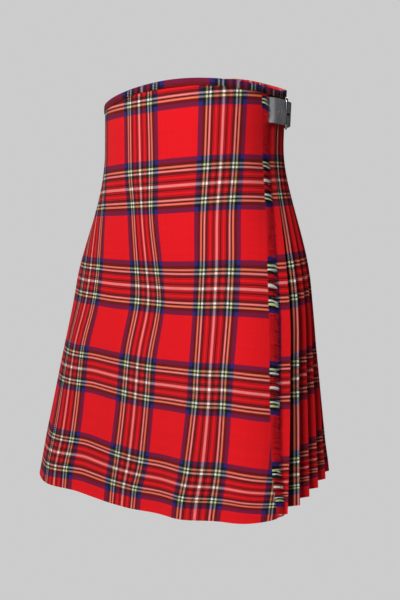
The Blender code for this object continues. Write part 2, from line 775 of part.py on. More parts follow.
def build_fastenings(parent):
    """The over-apron's strap at the left hip and the under-apron's at the right hip."""
    low = -(0.5 * CLOTH + STRAP_REST + 0.5 * STRAP_THICK)
    bar = 0.2238
    left_entry = [(0.1515 - bar, -low), (0.1755 - bar, -low), (0.1890 - bar, low)]
    Fastening("over_apron", bar, 1, left_entry).build(parent)
    drop = STRAP_TOP + 0.5 * STRAP_WIDTH
    slit = read_table(LAYOUT, "apron_fold", drop) - 0.5 * read_table(LAYOUT, "fold_gap", drop)
    run = 0.032
    base = read_table(PLEAT_SHAPE, "depth", drop) - 0.5 * CLOTH - GAP
    right_entry = [(-run, base), (-run, low), (0.5 * -run, low)]
    Fastening("under_apron", slit - run, -1, right_entry).build(parent)


def main():
    """Build every piece of the kilt."""
    for old in list(bpy.data.objects):
        bpy.data.objects.remove(old, do_unlink=True)
    kilt = bpy.data.objects.new("kilt", None)
    bpy.context.scene.collection.objects.link(kilt)
    build_over_apron(kilt)
    build_under_apron(kilt)
    build_pleats(kilt)
    build_waistband(kilt)
    build_fringe(kilt)
    build_fastenings(kilt)


main()
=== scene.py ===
"""Looks of an empty Scottish kilt in its worn shape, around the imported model.

Metres, +Z up, the front towards -Y and the wearer's left towards +X. Three measures place the
cloth, as in the part's source: "along" is the distance round the garment from the centre of
the front, "drop" the distance down from the top edge, and "depth" how far inside the outline
a point lies. Every cloth mesh carries its own cloth coordinates, in metres, as its UV map, and
the tartan is woven from those.
"""

from __future__ import annotations

import logging
import math
from dataclasses import dataclass, field
from enum import Enum
from functools import lru_cache
from typing import Callable, Iterable, Sequence

import bmesh
import bpy
import numpy as np
from mathutils import Matrix, Vector


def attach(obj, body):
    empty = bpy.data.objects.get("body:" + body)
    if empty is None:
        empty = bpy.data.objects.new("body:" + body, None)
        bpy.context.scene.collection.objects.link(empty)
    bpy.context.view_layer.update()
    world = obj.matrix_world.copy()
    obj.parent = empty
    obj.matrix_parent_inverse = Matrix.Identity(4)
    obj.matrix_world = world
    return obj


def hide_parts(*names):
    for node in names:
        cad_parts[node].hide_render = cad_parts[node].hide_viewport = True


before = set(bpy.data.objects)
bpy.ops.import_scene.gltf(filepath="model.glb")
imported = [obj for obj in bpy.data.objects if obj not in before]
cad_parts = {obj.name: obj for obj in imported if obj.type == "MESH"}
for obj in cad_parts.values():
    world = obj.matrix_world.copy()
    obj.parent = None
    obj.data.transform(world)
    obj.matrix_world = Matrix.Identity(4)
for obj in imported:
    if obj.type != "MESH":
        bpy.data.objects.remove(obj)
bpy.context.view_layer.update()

LOG = logging.getLogger("kilt")
UV_NAME = "cloth"

Point = tuple[float, float]
Colour = tuple[float, float, float]


class Hip(Enum):
    """A hip, and the way its strap points: 1 with the distances along, -1 against them."""

    LEFT = 1
    RIGHT = -1


class Side(Enum):
    """Half of the pleated back."""

    LEFT = "pleats_left"
    RIGHT = "pleats_right"


def ease(value: float) -> float:
    """Smooth step from 0 to 1."""
    t = min(max(value, 0.0), 1.0)
    return t * t * (3.0 - 2.0 * t)


def blend(one: float, two: float, share: float) -> float:
    """Value between two others."""
    return one + (two - one) * share


@dataclass(frozen=True)
class Curve:
    """A value that changes smoothly with drop, through stated values.

    Attributes:
        drops: Drops where the value is stated, rising.
        values: The values there.
    """

    drops: tuple[float, ...]
    values: tuple[float, ...]

    def at(self, drop: float) -> float:
        """Value at a drop, with no overshoot between the stated ones."""
        drops, values = self.drops, self.values
        if drop <= drops[0]:
            return values[0]
        if drop >= drops[-1]:
            return values[-1]
        last = len(drops) - 1
        steps = [(values[i + 1] - values[i]) / (drops[i + 1] - drops[i]) for i in range(last)]
        slopes = [steps[0]]
        for before, after in zip(steps, steps[1:]):
            same_way = before * after > 0.0
            slopes.append(2.0 * before * after / (before + after) if same_way else 0.0)
        slopes.append(steps[-1])
        i = max(k for k in range(last) if drops[k] <= drop)
        width = drops[i + 1] - drops[i]
        t = (drop - drops[i]) / width
        start = (1 + 2 * t) * (1 - t) ** 2 * values[i] + t * (1 - t) ** 2 * width * slopes[i]
        end = t * t * (3 - 2 * t) * values[i + 1] + t * t * (t - 1) * width * slopes[i + 1]
        return start + end


@dataclass(frozen=True)
class SoftFold:
    """A soft ridge or trough of the aprons.

    Attributes:
        along: Where its middle is, round the garment.
        drop: Where its middle is, down the cloth.
        half_width: How wide it is, to where it fades.
        half_height: How tall it is, to where it fades.
        sway: How far it moves along for each metre down.
        out: How far it stands out, or in if negative.
    """

    along: float
    drop: float
    half_width: float
    half_height: float
    sway: float
    out: float

    def lift(self, along: float, drop: float) -> float:
        """How far out it pushes the cloth at a place."""
        across = (along - self.along - self.sway * (drop - self.drop)) / self.half_width
        down = (drop - self.drop) / self.half_height
        return self.out * math.exp(-across * across - down * down)


class Figure:
    """The garment's form: its outline at every drop, and where its pieces start and end.

    LENGTH is how long the cloth is, and TOP_EDGE how high its top lies at the front. The values
    after them raise and dip the top edge and tilt the garment, which hangs askew. GAP parts the
    pieces at seams, and UNDER_DEPTH is how far inside the outline the under-apron lies. FORM,
    PLACES and LAYERS are the drops at which the curves below them are stated.
    """

    LENGTH = 0.625
    TOP_EDGE = 0.0331
    BACK_RISE = 0.028
    HIP_DIP = 0.0164
    DIP_MIDDLE = 0.020
    BACK_SHARE = 0.52
    RISE_FADE = 0.060
    HIP_TILT = 0.0521
    BACK_TILT = 0.0164
    WAIST_TILT = Curve((0.000, 0.142, 0.300), (0.0313, 0.0384, 0.0000))
    WAIST_HINGE = -0.0363
    HEM_TILT = 0.0554
    HEM_HINGE = -0.0426
    HEM_TILT_START = 0.550
    CLOTH = 0.0010
    GAP = 0.0003
    TOP_DROP = 0.0008
    UNDER_DEPTH = 0.0044
    SOFT_START = 0.07
    SOFT_GROWTH = 0.10
    PLEATS = 24
    WAIST_CROWDING = 0.14
    HEM_SPREAD = 0.12
    OPENING_DROP = 0.115
    INVERTED_REACH = 1.1
    BAND_HEIGHT = 0.0085
    DROP_STEP = 0.010
    TURN_STEPS = 720

    FORM = (0.000, 0.080, 0.300, 0.450, 0.625)
    SIDE = Curve(FORM, (0.1385, 0.1385, 0.1955, 0.2127, 0.2369))
    FRONT = Curve(FORM, (0.1142, 0.1142, 0.1115, 0.1162, 0.1281))
    BACK = Curve(FORM, (0.0755, 0.0755, 0.1225, 0.1429, 0.1575))
    LEAN = Curve(FORM, (-0.0020, -0.0020, -0.0102, -0.0165, -0.0237))
    SQUARE = Curve(FORM, (2.60, 2.60, 2.64, 3.46, 4.34))

    PLACES = (0.000, 0.060, 0.115, 0.230, 0.370, 0.500, 0.625)
    FREE_EDGE = Curve(PLACES, (0.1621, 0.1649, 0.1691, 0.1778, 0.1943, 0.2132, 0.2384))
    FIRST_FOLD = Curve(PLACES, (0.1985, 0.1985, 0.1988, 0.2090, 0.2316, 0.2483, 0.2580))
    APRON_FOLD = Curve(PLACES, (-0.250, -0.253, -0.257, -0.281, -0.308, -0.334, -0.356))
    FOLD_GAP = Curve(PLACES, (0.0056, 0.0056, 0.0052, 0.0066, 0.0120, 0.0180, 0.0240))
    UNDER_END = Curve(PLACES, (-0.205, -0.209, -0.213, -0.232, -0.254, -0.268, -0.282))

    LAYERS = (0.000, 0.060, 0.115, 0.165, 0.250, 0.400, 0.625)
    PLEAT_BACK = Curve(LAYERS, (0.016, 0.016, 0.017, 0.018, 0.030, 0.045, 0.044))
    PLEAT_DEPTH = Curve(LAYERS, (0.0070, 0.0070, 0.0074, 0.0090, 0.0180, 0.0370, 0.0480))
    PLEAT_FOLD = Curve(LAYERS, (0.0015, 0.0015, 0.0015, 0.0016, 0.0019, 0.0023, 0.0026))

    SOFT_FOLDS = (
        SoftFold(-0.010, 0.300, 0.045, 0.055, 0.10, -0.0070),
        SoftFold(0.094, 0.600, 0.030, 0.210, -0.04, 0.0060),
        SoftFold(0.150, 0.610, 0.026, 0.170, 0.05, -0.0040),
        SoftFold(-0.105, 0.560, 0.038, 0.200, -0.12, -0.0050),
        SoftFold(-0.165, 0.600, 0.032, 0.240, -0.10, 0.0055),
        SoftFold(0.040, 0.590, 0.030, 0.160, 0.02, -0.0035),
    )

    @classmethod
    def soft_fold(cls, along: float, drop: float) -> float:
        """How far in the aprons' soft folds push the cloth at a place."""
        lift = sum(fold.lift(along, drop) for fold in cls.SOFT_FOLDS)
        return -lift * ease((drop - cls.SOFT_START) / cls.SOFT_GROWTH)

    @classmethod
    def rise_left(cls, drop: float) -> float:
        """Share of the top edge's rise and dips that is left at a drop."""
        return max(0.0, 1.0 - drop / cls.RISE_FADE)

    @classmethod
    def fold_edge(cls, number: int, drop: float) -> float:
        """Distance along of a pleat's fold, counted from the wearer's left hip."""
        first = cls.FIRST_FOLD.at(drop)
        last = outline(drop).round + cls.APRON_FOLD.at(drop) - cls.FOLD_GAP.at(drop)
        share = (number - 1) / (cls.PLEATS - 1)
        opened = ease((drop - cls.OPENING_DROP) / (cls.LENGTH - cls.OPENING_DROP))
        bunching = blend(-cls.WAIST_CROWDING, cls.HEM_SPREAD, opened)
        share += bunching * math.sin(2.0 * math.pi * share) / (2.0 * math.pi)
        return blend(first, last, share)

    @classmethod
    def inverted_end(cls, drop: float) -> float:
        """Distance along of the inverted pleat's inner fold, in front of the apron's edge."""
        edge = outline(drop).round + cls.APRON_FOLD.at(drop)
        return edge + cls.PLEAT_BACK.at(drop) * cls.INVERTED_REACH

    @classmethod
    def plan(cls, drop: float) -> np.ndarray:
        """Plan of the outline at a drop, once round from the centre of the front."""
        turn = np.linspace(-0.5 * math.pi, 1.5 * math.pi, cls.TURN_STEPS + 1)
        power = 2.0 / cls.SQUARE.at(drop)
        cos, sin = np.cos(turn), np.sin(turn)
        x = cls.SIDE.at(drop) * np.sign(cos) * np.abs(cos) ** power + cls.LEAN.at(drop)
        reach = np.where(sin > 0.0, cls.BACK.at(drop), cls.FRONT.at(drop))
        return np.column_stack((x, reach * np.sign(sin) * np.abs(sin) ** power))

    @classmethod
    def askew(cls, plan: np.ndarray, drop: float) -> np.ndarray:
        """How much higher each point of a plan hangs than it would on a level kilt."""
        x, y = plan[:, 0], plan[:, 1]
        near_hem = ease((drop - cls.HEM_TILT_START) / (cls.LENGTH - cls.HEM_TILT_START))
        level = cls.HIP_TILT * x + cls.BACK_TILT * y
        waist = cls.WAIST_TILT.at(drop) * (x - cls.WAIST_HINGE)
        return level + waist + cls.HEM_TILT * near_hem * (x - cls.HEM_HINGE)


@lru_cache(maxsize=None)
def fallen(step: int) -> np.ndarray:
    """Heights of the outline, a whole number of drop steps down from the top edge."""
    if step == 0:
        return np.full(Figure.TURN_STEPS + 1, Figure.TOP_EDGE)
    stride = Figure.DROP_STEP
    moved = Figure.plan(step * stride) - Figure.plan((step - 1) * stride)
    return fallen(step - 1) - np.sqrt(np.maximum(stride**2 - (moved**2).sum(axis=1), 0.0))


class Outline:
    """The garment's outline at one drop, which places points along it."""

    def __init__(self, drop: float) -> None:
        """Work out the outline.

        Args:
            drop: Distance down the cloth.
        """
        self.plan = Figure.plan(drop)
        self.runs = np.concatenate(([0.0], np.cumsum(np.hypot(*np.diff(self.plan, axis=0).T))))
        self.round = float(self.runs[-1])
        tangent = np.gradient(self.plan, axis=0)
        tangent[0] = tangent[-1] = (1.0, 0.0)
        tangent /= np.hypot(*tangent.T)[:, None]
        self.normal = np.column_stack((tangent[:, 1], -tangent[:, 0]))
        down = drop / Figure.DROP_STEP
        step = int(down)
        part = down - step
        low = fallen(step + 1) if part > 0.0 else fallen(step)
        self.height = (1.0 - part) * fallen(step) + part * low
        self.height += Figure.askew(self.plan, drop)

    def places(self, along: np.ndarray, depth: np.ndarray) -> np.ndarray:
        """Points at distances along and depths inside the outline.

        Args:
            along: Distances round the garment.
            depth: Depths inside the outline.

        Returns:
            One row of x, y, z for each.
        """
        where = np.mod(along, self.round)
        columns = (*self.plan.T, *self.normal.T, self.height)
        x, y, out_x, out_y, z = (np.interp(where, self.runs, column) for column in columns)
        return np.column_stack((x - out_x * depth, y - out_y * depth, z))

    def place(self, along: float, depth: float = 0.0) -> Vector:
        """One point at a distance along and a depth inside the outline."""
        return Vector(self.places(np.array([along]), np.array([depth]))[0])

    def rise(self, along: float | np.ndarray) -> np.ndarray:
        """How much higher than at the front the top edge lies: low at the hips, high behind."""
        turns = 4.0 * math.pi * (np.asarray(along) - Figure.DIP_MIDDLE) / self.round
        dip = Figure.HIP_DIP * (0.5 - 0.5 * np.cos(turns))
        share = np.mod(along, self.round) / self.round - 0.5
        wide = Figure.BACK_SHARE
        hump = Figure.BACK_RISE * (0.5 + 0.5 * np.cos(2.0 * math.pi * share / wide))
        return np.where(np.abs(share) < 0.5 * wide, hump, 0.0) - dip


@lru_cache(maxsize=None)
def outline(drop: float) -> Outline:
    """The outline at a drop, kept once worked out."""
    return Outline(drop)


# The tartan


@dataclass(frozen=True)
class Stripe:
    """One stripe of the sett's half, counted out from the pivot white.

    Attributes:
        dye: Name of its dye.
        threads: Its number of threads.
    """

    dye: str
    threads: int


@dataclass(frozen=True)
class Sett:
    """The tartan's repeat, the same in warp and weft.

    Attributes:
        repeat: Width of one whole repeat, in metres.
        stripes: Stripes from the pivot white out to the middle of the red ground.
        dyes: Colour of each dye, linear.
    """

    repeat: float
    stripes: tuple[Stripe, ...]
    dyes: dict[str, Colour]


ROYAL = Sett(
    repeat=0.1422,
    stripes=(
        Stripe("white", 2),
        Stripe("red", 1),
        Stripe("black", 1),
        Stripe("red", 1),
        Stripe("black", 3),
        Stripe("red", 1),
        Stripe("black", 1),
        Stripe("red", 4),
        Stripe("black", 1),
        Stripe("red", 1),
        Stripe("black", 2),
        Stripe("green", 1),
        Stripe("black", 2),
        Stripe("white", 3),
        Stripe("black", 3),
        Stripe("yellow", 3),
        Stripe("black", 5),
        Stripe("blue", 7),
        Stripe("red", 37),
    ),
    dyes={
        "red": (0.700, 0.0060, 0.0110),
        "white": (0.920, 0.880, 0.800),
        "black": (0.0060, 0.0050, 0.0060),
        "green": (0.0040, 0.0250, 0.0110),
        "yellow": (0.700, 0.740, 0.380),
        "blue": (0.0300, 0.0140, 0.1500),
    },
)


class Sockets:
    """Short way to add nodes and link them in one tree."""

    def __init__(self, tree: bpy.types.NodeTree) -> None:
        """Keep the tree.

        Args:
            tree: Tree of a material, a world or a group.
        """
        self.tree = tree

    def node(self, kind: str, **values: object) -> bpy.types.Node:
        """Add a node and set its properties."""
        made = self.tree.nodes.new(kind)
        for name, value in values.items():
            setattr(made, name, value)
        return made

    def feed(self, socket: bpy.types.NodeSocket, source: object) -> None:
        """Link a socket to another, or set its value."""
        if isinstance(source, bpy.types.NodeSocket):
            self.tree.links.new(source, socket)
        else:
            socket.default_value = source

    def math(self, operation: str, *sources: object) -> bpy.types.NodeSocket:
        """Add a Math node.

        Args:
            operation: Its operation.
            *sources: Sockets or numbers for its inputs.

        Returns:
            Its output.
        """
        made = self.node("ShaderNodeMath", operation=operation)
        for socket, source in zip(made.inputs, sources):
            self.feed(socket, source)
        return made.outputs[0]

    def feeds(self, made: bpy.types.Node, sources: dict[str, object]) -> None:
        """Feed several of a node's sockets, by name."""
        for name, source in sources.items():
            self.feed(made.inputs[name], source)

    def line(self, value: object, factor: float, start: float) -> bpy.types.NodeSocket:
        """Multiply a value, add to it, and return the result's socket."""
        return self.math("ADD", self.math("MULTIPLY", value, factor), start)

    def mix(self, factor: object, one: object, two: object,
            how: str = "MIX") -> bpy.types.NodeSocket:
        """Mix two colours and return the result's socket."""
        made = self.node("ShaderNodeMix", data_type="RGBA", blend_type=how)
        self.feeds(made, {"Factor": factor, "A": one, "B": two})
        return made.outputs["Result"]

    def shaded(self, colour: object, factor: object) -> bpy.types.NodeSocket:
        """Multiply a colour by a value and return the result's socket."""
        grey = self.node("ShaderNodeCombineXYZ")
        for axis in grey.inputs:
            self.feed(axis, factor)
        return self.mix(1.0, colour, grey.outputs[0], "MULTIPLY")

    def bump(self, height: object, distance: float, strength: float = 1.0) -> bpy.types.NodeSocket:
        """Turn a height into a normal and return its socket."""
        made = self.node("ShaderNodeBump")
        self.feeds(made, {"Height": height, "Distance": distance, "Strength": strength})
        return made.outputs["Normal"]

    def noise(self, vector: object, scale: float, detail: float = 2.0) -> bpy.types.NodeSocket:
        """Add a noise texture and return its value."""
        made = self.node("ShaderNodeTexNoise")
        self.feeds(made, {"Vector": vector, "Scale": scale, "Detail": detail})
        return made.outputs["Fac"]

    def for_camera(self, lit: bpy.types.NodeSocket,
                   seen: bpy.types.NodeSocket) -> bpy.types.NodeSocket:
        """Mix two shaders: the first lights the scene, and the camera sees the second."""
        mix = self.node("ShaderNodeMixShader")
        self.feed(mix.inputs["Fac"], self.node("ShaderNodeLightPath").outputs["Is Camera Ray"])
        self.feed(mix.inputs[1], lit)
        self.feed(mix.inputs[2], seen)
        return mix.outputs[0]


def new_material(name: str) -> tuple[bpy.types.Material, Sockets, bpy.types.Node]:
    """Make a material.

    Args:
        name: Its name.

    Returns:
        The material, the way to add nodes to it, and its shader.
    """
    made = bpy.data.materials.new(name)
    made.use_nodes = True
    return made, Sockets(made.node_tree), made.node_tree.nodes["Principled BSDF"]


class WeaveGroups:
    """The node groups that the cloth's materials share, each built once."""

    TWILL = 4.0
    FLOATED = 1.5
    ROUNDNESS = 3.2
    SHOW_THROUGH = 0.60

    def __init__(self, sett: Sett) -> None:
        """Build the groups.

        Args:
            sett: The tartan's repeat.
        """
        self.sett = sett
        self.stripes = self.stripe_group()
        self.tartan = self.tartan_group()
        self.crease = self.crease_group()

    @staticmethod
    def new_group(name: str, inputs: Sequence[tuple[str, str, object]],
                  outputs: Sequence[tuple[str, str]]) -> bpy.types.NodeTree:
        """Make an empty node group with named sockets.

        Args:
            name: Its name.
            inputs: Name, socket type and default value of each input.
            outputs: Name and socket type of each output.

        Returns:
            The group.
        """
        group = bpy.data.node_groups.new(name, "ShaderNodeTree")
        for label, kind, value in inputs:
            socket = group.interface.new_socket(label, in_out="INPUT", socket_type=kind)
            socket.default_value = value
        for label, kind in outputs:
            group.interface.new_socket(label, in_out="OUTPUT", socket_type=kind)
        return group

    def stripe_group(self) -> bpy.types.NodeTree:
        """Group that turns a distance across the threads into the colour of its stripe."""
        group = self.new_group(
            "sett_stripes", [("Distance", "NodeSocketFloat", 0.0)], [("Color", "NodeSocketColor")]
        )
        use = Sockets(group)
        entry, leave = use.node("NodeGroupInput"), use.node("NodeGroupOutput")
        half = 0.5 * self.sett.repeat
        folded = use.math("PINGPONG", entry.outputs["Distance"], half)
        ramp = use.node("ShaderNodeValToRGB")
        ramp.color_ramp.interpolation = "CONSTANT"
        use.feed(ramp.inputs["Fac"], use.math("DIVIDE", folded, half))
        total = sum(stripe.threads for stripe in self.sett.stripes)
        start = 0.0
        stops = ramp.color_ramp.elements
        for number, stripe in enumerate(self.sett.stripes):
            stop = stops[number] if number < 2 else stops.new(start / total)
            stop.position = start / total
            stop.color = (*self.sett.dyes[stripe.dye], 1.0)
            start += stripe.threads
        use.feed(leave.inputs["Color"], ramp.outputs["Color"])
        return group

    def tartan_group(self) -> bpy.types.NodeTree:
        """Group that weaves the sett as a two-and-two twill.

        Its height is the relief of the threads, each a small round ridge.
        """
        inputs = [
            ("Across", "NodeSocketFloat", 0.0),
            ("Down", "NodeSocketFloat", 0.0),
            ("Thread", "NodeSocketFloat", 0.0009),
            ("Unevenness", "NodeSocketFloat", 0.12),
        ]
        outputs = [("Color", "NodeSocketColor"), ("Height", "NodeSocketFloat")]
        group = self.new_group("tartan_twill", inputs, outputs)
        use = Sockets(group)
        entry, leave = use.node("NodeGroupInput"), use.node("NodeGroupOutput")
        across, down, thread = (entry.outputs[name] for name in ("Across", "Down", "Thread"))
        colours, places, ridges = [], [], []
        for distance in (across, down):
            count = use.math("DIVIDE", distance, thread)
            number = use.math("FLOOR", count)
            stripes = use.node("ShaderNodeGroup", node_tree=self.stripes)
            middle = use.math("MULTIPLY", use.math("ADD", number, 0.5), thread)
            use.feed(stripes.inputs["Distance"], middle)
            grain = use.node("ShaderNodeTexWhiteNoise", noise_dimensions="1D")
            use.feed(grain.inputs["W"], number)
            dulled = use.math("MULTIPLY", grain.outputs["Value"], entry.outputs["Unevenness"])
            depth = use.math("SUBTRACT", 1.0, dulled)
            colours.append(use.shaded(stripes.outputs["Color"], depth))
            places.append(number)
            inside = use.math("SUBTRACT", use.math("FRACT", count), 0.5)
            slope = use.math("MULTIPLY", use.math("MULTIPLY", inside, inside), self.ROUNDNESS)
            ridges.append(use.math("SUBTRACT", 1.0, slope))
        phase = use.math("FLOORED_MODULO", use.math("ADD", places[0], places[1]), self.TWILL)
        warp_on_top = use.math("LESS_THAN", phase, self.FLOATED)
        over = use.mix(warp_on_top, colours[1], colours[0])
        under = use.mix(warp_on_top, colours[0], colours[1])
        shaded = use.mix(1.0, over, under, "DARKEN")
        use.feed(leave.inputs["Color"], use.mix(self.SHOW_THROUGH, over, shaded))
        gap = use.math("SUBTRACT", ridges[0], ridges[1])
        height = use.math("ADD", ridges[1], use.math("MULTIPLY", gap, warp_on_top))
        use.feed(leave.inputs["Height"], height)
        return group

    def crease_group(self) -> bpy.types.NodeTree:
        """Group for the wool's nap and its faint rumples, from the cloth coordinates."""
        inputs = [("Vector", "NodeSocketVector", (0.0, 0.0, 0.0))]
        outputs = [("Nap", "NodeSocketFloat"), ("Rumple", "NodeSocketFloat")]
        group = self.new_group("wool_nap", inputs, outputs)
        use = Sockets(group)
        entry, leave = use.node("NodeGroupInput"), use.node("NodeGroupOutput")
        stretched = use.node("ShaderNodeMapping")
        stretched.inputs["Scale"].default_value = (1.0, 0.35, 1.0)
        use.feed(stretched.inputs["Vector"], entry.outputs["Vector"])
        use.feed(leave.inputs["Nap"], use.noise(entry.outputs["Vector"], 900.0, 3.0))
        use.feed(leave.inputs["Rumple"], use.noise(stretched.outputs[0], 42.0, 3.0))
        return group


@dataclass(frozen=True)
class TartanFinish:
    """Woven wool in the sett.

    Attributes:
        name: The material's name.
        rumple: How deep its faint rumples look, in metres.
        weave: How deep the threads' relief looks, in metres.
        shift: Where the pattern starts, across and down.
    """

    name: str
    rumple: float = 0.0010
    weave: float = 0.00025
    shift: Point = (0.0, 0.0)

    def material(self, groups: WeaveGroups) -> bpy.types.Material:
        """Build the material.

        Args:
            groups: The shared weave groups.

        Returns:
            The material.
        """
        made, use, shader = new_material(self.name)
        place = use.node("ShaderNodeUVMap", uv_map=UV_NAME)
        moved = use.node("ShaderNodeVectorMath", operation="ADD")
        use.feed(moved.inputs[0], place.outputs["UV"])
        moved.inputs[1].default_value = (*self.shift, 0.0)
        split = use.node("ShaderNodeSeparateXYZ")
        use.feed(split.inputs[0], moved.outputs[0])
        weave = use.node("ShaderNodeGroup", node_tree=groups.tartan)
        use.feed(weave.inputs["Across"], split.outputs["X"])
        use.feed(weave.inputs["Down"], split.outputs["Y"])
        nap = use.node("ShaderNodeGroup", node_tree=groups.crease)
        use.feed(nap.inputs["Vector"], moved.outputs[0])
        fuzz = use.line(nap.outputs["Nap"], 0.30, 0.85)
        threads = use.math("MULTIPLY", weave.outputs["Height"], self.weave)
        rumples = use.math("MULTIPLY", nap.outputs["Rumple"], self.rumple)
        use.feeds(shader, {
            "Base Color": use.shaded(weave.outputs["Color"], fuzz),
            "Roughness": use.line(nap.outputs["Nap"], 0.12, 0.80),
            "Specular IOR Level": 0.12,
            "Sheen Weight": 0.04,
            "Sheen Roughness": 0.45,
            "Sheen Tint": (1.0, 0.75, 0.72, 1.0),
            "Normal": use.bump(use.math("ADD", threads, rumples), 1.0, 0.8),
        })
        return made


@dataclass(frozen=True)
class YarnFinish:
    """Loose weft yarn in its own dyes, lightened a little and banded lighter and darker along its
    twist as painted light and shade.

    Attributes:
        name: The material's name.
        twists: How tightly it is twisted, in radians for each metre.
    """

    name: str
    twists: float = 5200.0

    def material(self, groups: WeaveGroups) -> bpy.types.Material:
        """Build the material from the shared groups and return it."""
        made, use, shader = new_material(self.name)
        place = use.node("ShaderNodeUVMap", uv_map=UV_NAME)
        split = use.node("ShaderNodeSeparateXYZ")
        use.feed(split.inputs[0], place.outputs["UV"])
        stripes = use.node("ShaderNodeGroup", node_tree=groups.stripes)
        use.feed(stripes.inputs["Distance"], split.outputs["Y"])
        twist = use.math("SINE", use.math("MULTIPLY", split.outputs["X"], self.twists))
        use.feeds(shader, {
            # Base colour: the dye times 0.96 to 1.08 with the twist, a little lighter than the dye
            # on the whole, is painted light and shade on the twisted yarn
            "Base Color": use.shaded(stripes.outputs["Color"], use.line(twist, 0.06, 1.02)),
            "Roughness": use.line(twist, 0.05, 0.85),
            "Specular IOR Level": 0.15,
            "Subsurface Weight": 0.60,
            "Subsurface Radius": (1.0, 0.5, 0.5),
            "Subsurface Scale": 0.0015,
            "Normal": use.bump(twist, 0.0002),
        })
        return made


@dataclass(frozen=True)
class LeatherFinish:
    """Smooth strap leather, black worn to grey and made paler still as painted reflection of the
    light, with a fine grain and paler patches.

    Attributes:
        name: The material's name.
        grey: How pale its face is, partly from wear and partly as painted reflection.
        rough: Its mean roughness.
    """

    name: str
    grey: float = 0.260
    rough: float = 0.50

    def material(self) -> bpy.types.Material:
        """Build the material and return it."""
        made, use, shader = new_material(self.name)
        place = use.node("ShaderNodeTexCoord").outputs["Object"]
        pores = use.node("ShaderNodeTexVoronoi", feature="DISTANCE_TO_EDGE")
        use.feeds(pores, {"Vector": place, "Scale": 1100.0})
        clouds = use.noise(place, 60.0, 4.0)
        worn = use.node("ShaderNodeMapRange")
        use.feeds(worn, {"Value": clouds, "From Min": 0.35, "From Max": 0.75})
        # The grey face, a little blue, is worn black leather lightened partly as painted
        # reflection of the light at a grazing angle; the paler patches lie at random
        dark = (self.grey, self.grey, self.grey * 1.06, 1.0)
        pale = (self.grey * 1.7, self.grey * 1.7, self.grey * 1.8, 1.0)
        use.feeds(shader, {
            "Base Color": use.mix(worn.outputs["Result"], dark, pale),
            "Roughness": use.line(clouds, 0.16, self.rough - 0.08),
            "Coat Weight": 0.20,
            "Coat Roughness": 0.22,
            "Normal": use.bump(pores.outputs["Distance"], 0.00012, 0.6),
        })
        return made


@dataclass(frozen=True)
class MetalFinish:
    """Polished plated metal with faint wear.

    Attributes:
        name: The material's name.
        colour: Its colour, linear.
    """

    name: str
    colour: Colour = (0.80, 0.80, 0.81)

    def material(self) -> bpy.types.Material:
        """Build the material and return it."""
        made, use, shader = new_material(self.name)
        rubbed = use.noise(use.node("ShaderNodeTexCoord").outputs["Object"], 340.0, 4.0)
        dull = tuple(0.8 * part for part in self.colour)
        use.feeds(shader, {
            "Base Color": use.mix(rubbed, (*self.colour, 1.0), (*dull, 1.0)),
            "Roughness": use.line(rubbed, 0.16, 0.06),
            "Metallic": 1.0,
        })
        return made


@dataclass(frozen=True)
class ThreadFinish:
    """Twisted sewing thread.

    Attributes:
        name: The material's name.
        colour: Its colour, linear.
    """

    name: str
    colour: Colour

    def material(self) -> bpy.types.Material:
        """Build the material and return it."""
        made, use, shader = new_material(self.name)
        fibres = use.noise(use.node("ShaderNodeTexCoord").outputs["Object"], 2600.0, 2.0)
        dark = tuple(0.55 * part for part in self.colour)
        use.feeds(shader, {
            "Base Color": use.mix(fibres, (*dark, 1.0), (*self.colour, 1.0)),
            "Roughness": use.line(fibres, 0.2, 0.6),
            "Normal": use.bump(fibres, 0.0001),
        })
        return made


# Meshes


@dataclass
class Strip:
    """A length of cloth between two folds or seams, as columns at one drop.

    Attributes:
        line: Middle line of the cloth as (along, depth) pairs.
        across: Cloth coordinate of each column.
    """

    line: list[Point]
    across: list[float]


def no_sag(along: np.ndarray, drop: float) -> np.ndarray:
    """Weft that hasn't sagged at any of the distances along, whatever the drop."""
    return np.zeros_like(along) * drop


